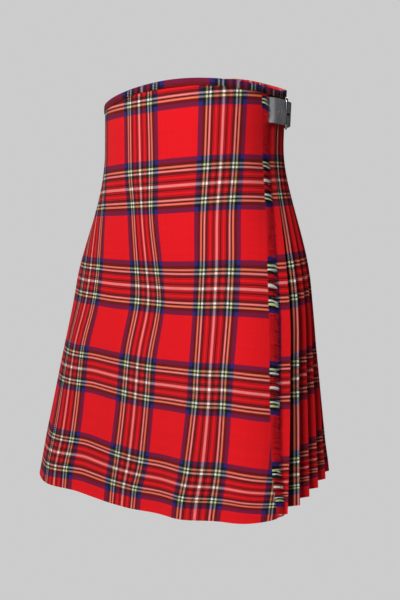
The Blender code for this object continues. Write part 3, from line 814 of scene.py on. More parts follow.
@dataclass
class ShellMaker:
    """Makes a closed thin wall from rows of cloth, with its cloth coordinates as UVs.

    Attributes:
        name: Name of the piece.
        drops: Drops of the rows, from the top.
        strips_at: Gives the strips of cloth at a drop, each joined to the next.
        sag_at: Gives how far the weft has sagged at distances along and a drop.
        thickness: Thickness of the cloth.
    """

    name: str
    drops: np.ndarray
    strips_at: Callable[[float], list[Strip]]
    sag_at: Callable[[np.ndarray, float], np.ndarray] = no_sag
    thickness: float = Figure.CLOTH

    def build(self, material: bpy.types.Material) -> bpy.types.Object:
        """Make the piece.

        Args:
            material: Its material.

        Returns:
            The object.
        """
        middle, left, right, down = [], [], [], []
        for drop in self.drops:
            level = outline(round(float(drop), 5))
            strips = self.strips_at(float(drop))
            line = [spot for strip in strips for spot in strip.line]
            along = np.array([spot[0] for spot in line])
            row = level.places(along, np.array([spot[1] for spot in line]))
            lift = level.rise(along) * Figure.rise_left(drop)
            row[:, 2] += lift
            middle.append(row)
            across = [value for strip in strips for value in strip.across]
            lefts, rights = across[:-1], across[1:]
            ends = np.cumsum([len(strip.line) for strip in strips])[:-1]
            for end in ends:
                rights[end - 1] = lefts[end - 1]
            left.append(lefts)
            right.append(rights)
            down.append(drop - lift - self.sag_at(along, float(drop)))
        return self.mesh(*(np.array(rows) for rows in (middle, left, right, down)), material)

    def mesh(self, middle: np.ndarray, left: np.ndarray, right: np.ndarray, down: np.ndarray,
             material: bpy.types.Material) -> bpy.types.Object:
        """Turn the middle surface into a wall.

        Args:
            middle: Points of the middle surface, by row and column.
            left: Cloth coordinate at the left of each cell.
            right: Cloth coordinate at the right of each cell.
            down: Cloth coordinate down the cloth, by row and column.
            material: Material of the wall.

        Returns:
            The object.
        """
        rows, columns = middle.shape[:2]
        step = np.diff(middle[:, :, :2], axis=1)
        step /= np.maximum(np.linalg.norm(step, axis=2, keepdims=True), 1e-9)
        normal = np.stack((step[:, :, 1], -step[:, :, 0]), axis=2)
        before = np.concatenate((normal[:, :1], normal), axis=1)
        after = np.concatenate((normal, normal[:, -1:]), axis=1)
        turn = 1.0 + (before * after).sum(axis=2, keepdims=True)
        mitre = (before + after) / np.maximum(turn, 0.35) * (0.5 * self.thickness)
        shift = np.concatenate((mitre, np.zeros((rows, columns, 1))), axis=2)
        points = np.concatenate(((middle + shift).reshape(-1, 3), (middle - shift).reshape(-1, 3)))
        back = rows * columns
        grid = np.arange(rows * columns).reshape(rows, columns)
        a, b = grid[:-1, :-1].ravel(), grid[:-1, 1:].ravel()
        c, d = grid[1:, 1:].ravel(), grid[1:, :-1].ravel()
        cell = np.column_stack((a, b, c, d))
        corners = (
            np.column_stack((left[:-1].ravel(), down[:-1, :-1].ravel())),
            np.column_stack((right[:-1].ravel(), down[:-1, 1:].ravel())),
            np.column_stack((right[1:].ravel(), down[1:, 1:].ravel())),
            np.column_stack((left[1:].ravel(), down[1:, :-1].ravel())),
        )
        faces, uvs = [cell, cell + back], [np.stack(corners, axis=1)] * 2
        for row in (0, rows - 1):
            one, two = grid[row, :-1], grid[row, 1:]
            faces.append(np.column_stack((one, one + back, two + back, two)))
            near = np.column_stack((left[row], down[row, :-1]))
            far = np.column_stack((right[row], down[row, 1:]))
            uvs.append(np.stack((near, near, far, far), axis=1))
        for column, values in ((0, left[:, 0]), (columns - 1, right[:, -1])):
            one, two = grid[:-1, column], grid[1:, column]
            faces.append(np.column_stack((one, one + back, two + back, two)))
            high = np.column_stack((values[:-1], down[:-1, column]))
            low = np.column_stack((values[1:], down[1:, column]))
            uvs.append(np.stack((high, high, low, low), axis=1))
        return make_object(self.name, points, np.concatenate(faces), np.concatenate(uvs), material)


def make_object(name: str, points: np.ndarray, faces: np.ndarray, uvs: np.ndarray | None,
                material: bpy.types.Material, crisp: float = 50.0) -> bpy.types.Object:
    """Make a mesh object from arrays.

    Args:
        name: Name of the piece.
        points: Its points.
        faces: Its faces, all of one number of corners.
        uvs: Cloth coordinates of each face's corners, if it has any.
        material: Its material.
        crisp: Angle in degrees above which an edge stays sharp.

    Returns:
        The object, linked into the scene.
    """
    mesh = bpy.data.meshes.new(name)
    mesh.from_pydata(points.tolist(), [], faces.tolist())
    if uvs is not None:
        layer = mesh.uv_layers.new(name=UV_NAME)
        layer.uv.foreach_set("vector", uvs.reshape(-1, 2).astype(np.float32).ravel())
    mesh.materials.append(material)
    maker = bmesh.new()
    maker.from_mesh(mesh)
    bmesh.ops.recalc_face_normals(maker, faces=maker.faces)
    maker.to_mesh(mesh)
    maker.free()
    mesh.shade_smooth()
    mesh.set_sharp_from_angle(angle=math.radians(crisp))
    piece = bpy.data.objects.new(name, mesh)
    bpy.context.scene.collection.objects.link(piece)
    return piece


def sweep(rings: np.ndarray, closed: bool = False) -> tuple[np.ndarray, np.ndarray]:
    """Skin a row of rings.

    Args:
        rings: Points by ring and by place round the ring, an even number round each.
        closed: True if the last ring joins the first.

    Returns:
        The points, and the faces as quads. A cap is a ladder from side to side of its ring.
    """
    count, sides = rings.shape[:2]
    faces = []
    for i in range(count if closed else count - 1):
        j = (i + 1) % count
        for k in range(sides):
            m = (k + 1) % sides
            faces.append((i * sides + k, i * sides + m, j * sides + m, j * sides + k))
    if not closed:
        for base in (0, (count - 1) * sides):
            for k in range(sides // 2 - 1):
                faces.append((base + k, base + k + 1, base + sides - 2 - k, base + sides - 1 - k))
    return rings.reshape(-1, 3), np.array(faces)


def ring_round(spot: Vector, run: Vector, up: Vector, radius: float, sides: int) -> np.ndarray:
    """Points of a ring of a round bar.

    Args:
        spot: Its middle.
        run: Direction of the bar.
        up: Any direction that isn't along the bar.
        radius: Radius of the bar.
        sides: Number of points.

    Returns:
        The points.
    """
    side = run.cross(up).normalized()
    over = side.cross(run).normalized()
    turns = 2.0 * math.pi * np.arange(sides) / sides
    return np.array([spot + (side * math.cos(t) + over * math.sin(t)) * radius for t in turns])


def tube(path: Sequence[Vector], up: Vector, radii: Sequence[float], sides: int,
         closed: bool = False) -> tuple[np.ndarray, np.ndarray]:
    """Round bar or thread along a path.

    Args:
        path: Its middle line.
        up: Any direction that isn't along it.
        radii: Its radius at each point of the path.
        sides: Number of points round it.
        closed: True if its ends meet.

    Returns:
        The points and the faces.
    """
    last, rings = len(path) - 1, []
    for i, (spot, radius) in enumerate(zip(path, radii)):
        before = path[i - 1 if closed else max(i - 1, 0)]
        after = path[(i + 1) % len(path) if closed else min(i + 1, last)]
        rings.append(ring_round(spot, (after - before).normalized(), up, radius, sides))
    return sweep(np.array(rings), closed)


def joined(parts: Iterable[tuple[np.ndarray, np.ndarray]]) -> tuple[np.ndarray, np.ndarray]:
    """Points and faces of several parts in one pair of arrays."""
    points, faces, base = [], [], 0
    for spots, quads in parts:
        points.append(spots)
        faces.append(quads + base)
        base += len(spots)
    return np.concatenate(points), np.concatenate(faces)


def finish_piece(piece: bpy.types.Object,
                 replaces: Sequence[str] = ()) -> bpy.types.Object:
    """Join a piece to the frame.

    Args:
        piece: The piece.
        replaces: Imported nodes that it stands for.

    Returns:
        The piece.
    """
    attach(piece, "root")
    if replaces:
        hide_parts(*replaces)
    LOG.info("%s: %d faces", piece.name, len(piece.data.polygons))
    return piece


# Pieces of cloth

# Share of the cloth round a fold that counts towards the pattern
FOLD_SHARE = 0.3
# Drops at which the places of the warp threads are stated
WARP_DROPS = (0.0256, 0.1164, 0.1676, 0.2584, 0.3096, 0.4004, 0.4516, 0.5424, 0.5936)


@dataclass
class ClothPattern:
    """How the tartan lies on the cloth.

    The warp stripes bend with drop, because the aprons flare and hang in soft folds.

    Attributes:
        marks: Places in the sett of five warp threads, in repeats from a pivot white.
        threads: Distance along of each of them, by drop.
        squeeze: Distance along that one metre of cloth takes up beyond them.
        edge_sag: How far the weft sags at the free edge, low down.
        edge_reach: How far from the free edge that sag reaches.
        edge_power: How steeply it grows towards the edge.
        hip_sag: How far the weft sags towards the right hip, low down.
        hip_start: Distance along where that sag starts.
        hip_reach: Distance over which it grows.
        sag_drop: Drop at which both sags are full.
        first_pleats: Cloth coordinates of the folds that show.
        pleat_start: Phase that the other folds count from, in repeats.
        pleat_step: Change of phase from pleat to pleat, in repeats.
    """

    marks: tuple[float, ...] = (-1.82, -1.18, -0.82, -0.18, 0.18)
    threads: tuple[Curve, ...] = (
        Curve(WARP_DROPS, (-0.1100, -0.1075, -0.1022,
                           -0.0990, -0.1038, -0.1209, -0.1221, -0.1265, -0.1348)),
        Curve(WARP_DROPS, (-0.0456, -0.0421, -0.0343,
                           -0.0259, -0.0242, -0.0319, -0.0321, -0.0346, -0.0376)),
        Curve(WARP_DROPS, (-0.0042, 0.0004, 0.0017,
                           0.0156, 0.0221, 0.0146, 0.0157, 0.0150, 0.0078)),
        Curve(WARP_DROPS, (0.0818, 0.0816, 0.0816,
                           0.0868, 0.0882, 0.0920, 0.0950, 0.0937, 0.0897)),
        Curve(WARP_DROPS, (0.1270, 0.1256, 0.1252,
                           0.1323, 0.1345, 0.1377, 0.1409, 0.1444, 0.1440)),
    )
    squeeze: float = 0.88
    edge_sag: float = 0.011
    edge_reach: float = 0.070
    edge_power: float = 1.6
    hip_sag: float = 0.007
    hip_start: float = -0.100
    hip_reach: float = 0.090
    sag_drop: float = 0.450
    first_pleats: tuple[float, ...] = (0.051, -0.018, 0.062, 0.066, 0.058, 0.064)
    pleat_start: float = 0.33
    pleat_step: float = 0.55

    def across(self, along: np.ndarray | float, drop: float) -> np.ndarray:
        """Cloth coordinates across an apron.

        Args:
            along: Distances along, from the centre of the front.
            drop: Distance down the cloth.

        Returns:
            Distances across the threads from a pivot white.
        """
        spots = [thread.at(drop) for thread in self.threads]
        marks = [mark * ROYAL.repeat for mark in self.marks]
        spots = [spots[0] - self.squeeze, *spots, spots[-1] + self.squeeze]
        return np.interp(along, spots, [marks[0] - 1.0, *marks, marks[-1] + 1.0])

    def sag(self, along: np.ndarray, drop: float) -> np.ndarray:
        """How far the weft has sagged at distances along an apron."""
        start = Figure.FREE_EDGE.at(drop) - self.edge_reach
        near_edge = np.clip((along - start) / self.edge_reach, 0.0, 1.0)
        near_hip = np.clip((self.hip_start - along) / self.hip_reach, 0.0, 1.0)
        grown = min(drop / self.sag_drop, 1.0)
        return grown * (self.edge_sag * near_edge**self.edge_power + self.hip_sag * near_hip)

    def at_fold(self, number: int) -> float:
        """Cloth coordinate of a pleat's fold, which follows one warp thread."""
        if number <= len(self.first_pleats):
            return self.first_pleats[number - 1]
        return (self.pleat_start + self.pleat_step * (number - 1)) * ROYAL.repeat


@dataclass
class Rumple:
    """Slight unevenness of hanging cloth, from a few long waves.

    Attributes:
        height: Height of the largest wave.
        seed: Moves the waves, so that panels differ.
    """

    height: float
    seed: float

    # Each wave's radians for a metre along, for a metre down and for one of seed, and its share
    WAVES = (
        (46.0, 5.0, 1.0, 0.50),
        (87.0, -9.0, 2.3, 0.28),
        (21.0, 31.0, 1.7, 0.22),
        (134.0, 17.0, 0.6, 0.12),
    )
    START = 0.04
    GROWTH = 0.30
    AT_WAIST = 0.25

    def at(self, along: float, drop: float) -> float:
        """How far in the unevenness pushes the cloth at a place."""
        waves = 0.0
        for round_it, down_it, seeded, share in self.WAVES:
            waves += share * math.sin(round_it * along + down_it * drop + seeded * self.seed)
        grown = ease((drop - self.START) / self.GROWTH)
        return self.height * waves * blend(self.AT_WAIST, 1.0, grown)


@dataclass
class OverApron:
    """The front panel that shows, from its fold at the right hip to its fringed edge.

    Attributes:
        pattern: The tartan's lie.
        columns: Columns of cells across the front.
        rows: Rows of cells down the cloth.
        return_columns: Columns of cells in the part that turns under at the right hip.
        fold_points: Points round the fold.
        rumple: Its slight unevenness.
        calm: Distance from the fold over which the unevenness and the soft folds set in.
    """

    pattern: ClothPattern
    columns: int = 170
    rows: int = 160
    return_columns: int = 8
    fold_points: int = 5
    rumple: Rumple = field(default_factory=lambda: Rumple(0.0007, 0.4))
    calm: float = 0.012

    def strips(self, drop: float) -> list[Strip]:
        """Cloth at a drop, from the inner fold at the right hip to the free edge."""
        level = outline(round(drop, 5))
        fold = Figure.PLEAT_FOLD.at(drop)
        inner = Figure.inverted_end(drop)
        edge = level.round + Figure.APRON_FOLD.at(drop)
        free = level.round + Figure.FREE_EDGE.at(drop)
        seam = Figure.PLEAT_DEPTH.at(drop) - Figure.CLOTH - Figure.GAP
        start = float(self.pattern.across(edge - level.round, drop))
        line, across = [], []
        back = math.hypot(inner - edge, seam - fold)
        for k in range(self.return_columns):
            part = k / self.return_columns
            line.append((blend(inner, edge, part), blend(seam, fold, part)))
            across.append(start - (1.0 - part) * back)
        reach = 0.5 * fold
        for k in range(self.fold_points):
            turn = math.pi * k / self.fold_points
            line.append((edge - reach * math.sin(turn), reach + reach * math.cos(turn)))
            across.append(start - reach * (math.pi - turn) * FOLD_SHARE)
        spots = np.linspace(edge, free, self.columns + 1)
        for along in spots:
            here = along - level.round
            depth = Figure.soft_fold(here, drop) + self.rumple.at(here, drop)
            line.append((along, depth * ease((along - edge) / self.calm)))
        across.extend(self.pattern.across(spots - level.round, drop))
        return [Strip(line, across)]

    def sag(self, along: np.ndarray, drop: float) -> np.ndarray:
        """How far the weft has sagged at distances along its run."""
        return self.pattern.sag(along - outline(round(drop, 5)).round, drop)

    def build(self, material: bpy.types.Material) -> bpy.types.Object:
        """Make the panel."""
        drops = np.linspace(Figure.TOP_DROP, Figure.LENGTH, self.rows + 1)
        piece = ShellMaker("over_apron_cloth", drops, self.strips, self.sag).build(material)
        return finish_piece(piece, ["over_apron"])


@dataclass
class UnderApron:
    """The front panel inside the over-apron.

    Attributes:
        pattern: The tartan's lie.
        columns: Columns of cells across.
        rows: Rows of cells down.
        offset: How far its threads lie from those of the over-apron.
        turn_share: How much its turn in to the pleats lengthens for each metre of their depth.
        turn_start: Length of that turn where they have no depth.
        turn_limit: Its greatest length.
    """

    pattern: ClothPattern
    columns: int = 110
    rows: int = 110
    offset: float = 0.031
    turn_share: float = 0.75
    turn_start: float = 0.02
    turn_limit: float = 0.055

    def strips(self, drop: float) -> list[Strip]:
        """Cloth at a drop, from its free edge at the right hip to the first pleat."""
        depth = Figure.PLEAT_DEPTH.at(drop)
        start = Figure.UNDER_END.at(drop)
        end = seam_before_pleats(drop, Figure.GAP)
        turn = min(self.turn_share * depth + self.turn_start, self.turn_limit)
        line = []
        spots = np.linspace(start, end, self.columns + 1)
        for along in spots:
            inward = ease((along - (end - turn)) / turn)
            front = Figure.UNDER_DEPTH + Figure.soft_fold(along, drop)
            line.append((along, blend(front, depth, inward)))
        return [Strip(line, list(self.pattern.across(spots, drop) + self.offset))]

    def build(self, material: bpy.types.Material) -> bpy.types.Object:
        """Make the panel."""
        drops = np.linspace(Figure.TOP_DROP, Figure.LENGTH, self.rows + 1)
        piece = ShellMaker("under_apron_cloth", drops, self.strips).build(material)
        return finish_piece(piece, ["under_apron"])


# Length of cloth that lies between the seam and the first pleat's face
SEAM_STUB = 0.0015


def seam_before_pleats(drop: float, gap: float) -> float:
    """Distance along of the seam between the under-apron and the first pleat.

    Args:
        drop: Distance down the cloth.
        gap: Real distance to leave before the seam.

    Returns:
        The distance along, which is shorter deep inside the outline than it reads.
    """
    start = Figure.fold_edge(0, drop) - Figure.PLEAT_BACK.at(drop)
    depth = Figure.PLEAT_DEPTH.at(drop)
    level = outline(round(drop, 5))
    one, two = level.place(start - SEAM_STUB, depth), level.place(start, depth)
    shrink = math.hypot(two.x - one.x, two.y - one.y) / SEAM_STUB
    return start - (SEAM_STUB + gap) / shrink


@dataclass
class PleatedCloth:
    """One of the two lengths of knife pleats.

    Attributes:
        side: Which half of the back it covers.
        pattern: The tartan's lie.
        rows: Rows of cells down.
        face_cells: Cells across a pleat's face.
        return_cells: Cells across its return.
        fold_points: Points round its fold.
        inner_cells: Cells across the inner part of the inverted pleat.
        waver: How far a pleat's face wavers along its length at the hem.
        waver_turns: How fast it wavers, in radians for each metre down.
        waver_start: Drop where the wavering starts.
        waver_growth: Distance down over which it grows.
        curl: How far a pleat's face bows, as a share of its depth.
        curl_start: Drop where the bowing starts.
        curl_growth: Distance down over which it grows.
    """

    side: Side
    pattern: ClothPattern
    rows: int = 120
    face_cells: int = 9
    return_cells: int = 4
    fold_points: int = 4
    inner_cells: int = 8
    waver: float = 0.0012
    waver_turns: float = 9.0
    waver_start: float = 0.16
    waver_growth: float = 0.3
    curl: float = 0.10
    curl_start: float = 0.165
    curl_growth: float = 0.25

    def numbers(self) -> range:
        """Numbers of its pleats."""
        middle = Figure.PLEATS // 2
        if self.side is Side.LEFT:
            return range(1, middle + 1)
        return range(middle + 1, Figure.PLEATS + 1)

    def pleat(self, number: int, drop: float) -> Strip:
        """Face, fold and return of one pleat at a drop."""
        back = Figure.PLEAT_BACK.at(drop)
        depth = Figure.PLEAT_DEPTH.at(drop)
        fold = Figure.PLEAT_FOLD.at(drop)
        curl = self.curl * ease((drop - self.curl_start) / self.curl_growth)
        edge = Figure.fold_edge(number, drop)
        start = Figure.fold_edge(number - 1, drop) - back
        phase = self.pattern.at_fold(number)
        grown = ease((drop - self.waver_start) / self.waver_growth)
        waver = self.waver * grown * math.sin(self.waver_turns * drop + 2.1 * number)
        line, across = [], []
        length = math.hypot(edge - start, depth)
        for k in range(self.face_cells):
            part = k / self.face_cells
            lifted = depth * (1.0 - part + curl * math.sin(math.pi * part))
            line.append((blend(start, edge, part), lifted + waver * math.sin(math.pi * part)))
            across.append(phase - (1.0 - part) * length)
        reach = 0.5 * fold
        for k in range(self.fold_points + 1):
            turn = math.pi * k / self.fold_points
            line.append((edge + 0.6 * reach * math.sin(turn), reach - reach * math.cos(turn)))
            across.append(phase + reach * turn * FOLD_SHARE)
        length = math.hypot(back, depth - 2.0 * fold)
        for k in range(1, self.return_cells + 1):
            part = k / self.return_cells
            depth_here = blend(fold, depth - fold, part)
            line.append((edge - back * part, depth_here))
            across.append(phase + length * part)
        return Strip(line, across)

    def strips(self, drop: float) -> list[Strip]:
        """Cloth of all its pleats at a drop."""
        made = [self.pleat(number, drop) for number in self.numbers()]
        depth = Figure.PLEAT_DEPTH.at(drop)
        if self.side is Side.LEFT:
            made[0].line.insert(0, (seam_before_pleats(drop, 0.0), depth))
            made[0].across.insert(0, made[0].across[0] - SEAM_STUB)
            return made
        last = Figure.fold_edge(Figure.PLEATS, drop)
        start, end = last - Figure.PLEAT_BACK.at(drop), Figure.inverted_end(drop)
        cells = self.inner_cells
        spots = [(blend(start, end, k / cells), depth) for k in range(cells + 1)]
        phase = self.pattern.at_fold(Figure.PLEATS + 1)
        made.append(Strip(spots, [phase + spot[0] - start for spot in spots]))
        return made

    def build(self, material: bpy.types.Material) -> bpy.types.Object:
        """Make the pleated cloth."""
        drops = np.linspace(Figure.TOP_DROP, Figure.LENGTH, self.rows + 1)
        piece = ShellMaker(self.side.value + "_cloth", drops, self.strips).build(material)
        return finish_piece(piece, [self.side.value])


# Waistband


def wave(along: float, height: float, turns: float, phase: float) -> float:
    """How high a wave of so many radians for each metre stands at a distance along."""
    return height * math.sin(turns * along + phase)


@dataclass
class Waistband:
    """The strip of tartan folded over the top edge, along the whole wrap.

    Attributes:
        stations: Sections along its run.
        stand_off: Distance between the middles of the cloth and of the strip's walls.
        round_points: Points round its folded top.
        side_points: Points up each of its walls.
    """

    stations: int = 620
    stand_off: float = Figure.CLOTH + Figure.GAP
    round_points: int = 7
    side_points: int = 4

    # Where it comes out from under the over-apron, past the free edge
    OUT_START = 0.004
    OUT_LENGTH = 0.012
    # How far before that its inner wall starts to go in behind the pleats
    IN_LEAD = 0.034
    IN_LENGTH = 0.016
    # Where it closes on the over-apron alone, past the inverted pleat
    CLOSING_START = 0.004
    CLOSING_LENGTH = 0.019
    # Height, radians for each metre along and phase of the waves in its lower edge and its face
    EDGE_WAVES = ((0.00045, 61.0, 0.0), (0.0003, 143.0, 1.0))
    FACE_WAVE = (0.00025, 97.0, 0.7)
    FOLD_BASE = 0.0004
    FOLD_HEIGHT = 0.0009

    def walls(self, along: float) -> Point:
        """Depths of the middles of its outer and inner walls at a distance along its run."""
        top = Figure.TOP_DROP
        behind = Figure.PLEAT_DEPTH.at(top) + self.stand_off + Figure.GAP
        start = Figure.FREE_EDGE.at(top) + self.OUT_START
        end = Figure.inverted_end(top)
        came_out = ease((along - start) / self.OUT_LENGTH)
        went_in = ease((along - start + self.IN_LEAD) / self.IN_LENGTH)
        thinned = ease((along - end - self.CLOSING_START) / self.CLOSING_LENGTH)
        outer = blend(Figure.UNDER_DEPTH - self.stand_off, -self.stand_off, came_out)
        inner = blend(Figure.UNDER_DEPTH + self.stand_off, behind, went_in)
        return outer, blend(inner, self.stand_off, thinned)

    def section(self, along: float) -> list[tuple[float, float, float]]:
        """Middle line of the strip at a distance along, as (depth, height, run) of each point."""
        outer, inner = self.walls(along)
        uneven = sum(wave(along, *given) for given in self.EDGE_WAVES)
        bulge = wave(along, *self.FACE_WAVE)
        bottom = -Figure.BAND_HEIGHT + uneven
        radius = 0.5 * (inner - outer)
        high = min(radius, self.FOLD_HEIGHT)
        spots = []
        for k in range(self.side_points):
            part = k / self.side_points
            spots.append((outer - bulge * math.sin(math.pi * part), blend(bottom, 0.0, part)))
        for k in range(self.round_points + 1):
            turn = math.pi * k / self.round_points
            height = self.FOLD_BASE + high * math.sin(turn)
            spots.append((outer + radius - radius * math.cos(turn), height))
        for k in range(1, self.side_points + 1):
            spots.append((inner, blend(0.0, bottom, k / self.side_points)))
        run, made = 0.0, []
        for one, two in zip([spots[0]] + spots, spots):
            run += math.hypot(two[0] - one[0], two[1] - one[1])
            made.append((two[0], two[1], run))
        return made

    def build(self, material: bpy.types.Material) -> bpy.types.Object:
        """Make the band."""
        level = outline(Figure.TOP_DROP)
        first = Figure.UNDER_END.at(Figure.TOP_DROP)
        last = level.round + Figure.FREE_EDGE.at(Figure.TOP_DROP)
        outside, inside, cloth = [], [], []
        half = 0.5 * Figure.CLOTH
        for station in range(self.stations + 1):
            along = blend(first, last, station / self.stations)
            section = self.section(along)
            flat = np.array([(depth, height) for depth, height, _ in section])
            step = np.diff(flat, axis=0)
            step /= np.maximum(np.linalg.norm(step, axis=1, keepdims=True), 1e-9)
            normal = np.column_stack((-step[:, 1], step[:, 0]))
            before = np.vstack((normal[:1], normal))
            after = np.vstack((normal, normal[-1:]))
            mean = before + after
            mean /= np.linalg.norm(mean, axis=1, keepdims=True)
            lift = float(level.rise(along)) + Figure.TOP_DROP + half
            for store, way in ((outside, half), (inside, -half)):
                spots = flat + mean * way
                points = level.places(np.full(len(flat), along), spots[:, 0])
                points[:, 2] += spots[:, 1] + lift
                store.append(points)
            cloth.append([(along, run) for _, _, run in section])
        return self.mesh(np.array(outside), np.array(inside), np.array(cloth), material)

    def mesh(self, outside: np.ndarray, inside: np.ndarray, cloth: np.ndarray,
             material: bpy.types.Material) -> bpy.types.Object:
        """Join the strip's two faces into one wall and return the piece."""
        rings = np.concatenate((outside, inside[:, ::-1]), axis=1)
        marks = np.concatenate((cloth, cloth[:, ::-1]), axis=1)
        points, faces = sweep(rings)
        uvs = marks.reshape(-1, 2)[faces]
        piece = make_object("waistband_cloth", points, faces, uvs, material)
        return finish_piece(piece, ["waistband"])


# Fringe


@dataclass
class Fringe:
    """Loose weft threads along the over-apron's free edge, where the last warp is pulled out.

    Attributes:
        spacing: Distance between threads down the cloth.
        length: Length of a thread.
        droop: How far its tip hangs.
        radius: Radius of a thread at its root.
        parts: Lengths that each thread is made of.
        seed: Seed of the threads' unevenness.
    """

    spacing: float = 0.00058
    length: float = 0.0142
    droop: float = 0.0046
    radius: float = 0.00040
    parts: int = 5
    seed: int = 7

    SIDES = 4
    TAPER = 0.25
    CLUMP = 25
    LEANING = 0.18
    UNEVENNESS = 0.16
    SHORTEST = 0.75
    LONGEST = 1.15
    ROOT = 0.0008
    SPREAD = 0.00035
    KINK = 0.0005

    def build(self, material: bpy.types.Material) -> bpy.types.Object:
        """Make all the threads as one piece."""
        rng = np.random.default_rng(self.seed)
        top, bottom = Figure.BAND_HEIGHT + 0.003, Figure.LENGTH - 0.0012
        count = int((bottom - top) / self.spacing)
        clump = np.cumsum(rng.normal(0.0, self.LEANING, count))
        clump -= np.convolve(clump, np.ones(self.CLUMP) / self.CLUMP, mode="same")
        threads, marks = [], []
        for number in range(count):
            drop = top + (bottom - top) * number / (count - 1)
            points, faces, cloth = self.thread(drop, float(clump[number]), rng)
            threads.append((points, faces))
            marks.append(cloth)
        points, faces = joined(threads)
        uvs = np.concatenate(marks)[faces]
        piece = make_object("fringe_threads", points, faces, uvs, material)
        return finish_piece(piece, ["fringe"])

    def thread(self, drop: float, clump: float,
               rng: np.random.Generator) -> tuple[np.ndarray, np.ndarray, np.ndarray]:
        """One thread.

        Args:
            drop: Where its root is.
            clump: How it leans with its neighbours.
            rng: Source of its unevenness.

        Returns:
            Its points, its faces, and the cloth coordinates of its points.
        """
        level = outline(round(drop, 3))
        edge = Figure.FREE_EDGE.at(drop)
        fold = Figure.soft_fold(edge, drop)
        length = self.length * (1.0 + self.UNEVENNESS * rng.normal())
        length = min(max(length, self.SHORTEST * self.length), self.LONGEST * self.length)
        droop = self.droop * (0.75 + 0.35 * rng.random()) + 0.0005 * clump
        out = rng.normal(0.0, self.SPREAD)
        swing = 0.0011 * (0.3 + rng.random()) + 0.0004 * math.sin(47.0 * drop)
        kink = rng.uniform(-self.KINK, self.KINK)
        spots = []
        for part in np.linspace(0.0, 1.0, self.parts + 1):
            reach = edge - self.ROOT + (length + self.ROOT) * part * (1.0 - 0.06 * part)
            depth = fold + out * part * (2.0 - part) - swing * math.sin(1.9 * part)
            spot = level.place(reach, depth)
            spot.z -= droop * part**2.1 + kink * math.sin(5.0 * part) * part
            spot.z += float(level.rise(edge)) * Figure.rise_left(drop)
            spot.z += round(drop, 3) - drop
            spots.append(spot)
        shares = [i / self.parts for i in range(self.parts + 1)]
        radii = [self.radius * (1.0 - self.TAPER * share) for share in shares]
        points, faces = tube(spots, Vector((0.0, 0.0, 1.0)), radii, self.SIDES)
        marks = [(length * share, drop) for share in shares for _ in range(self.SIDES)]
        return points, faces, np.array(marks)


# Straps and buckles


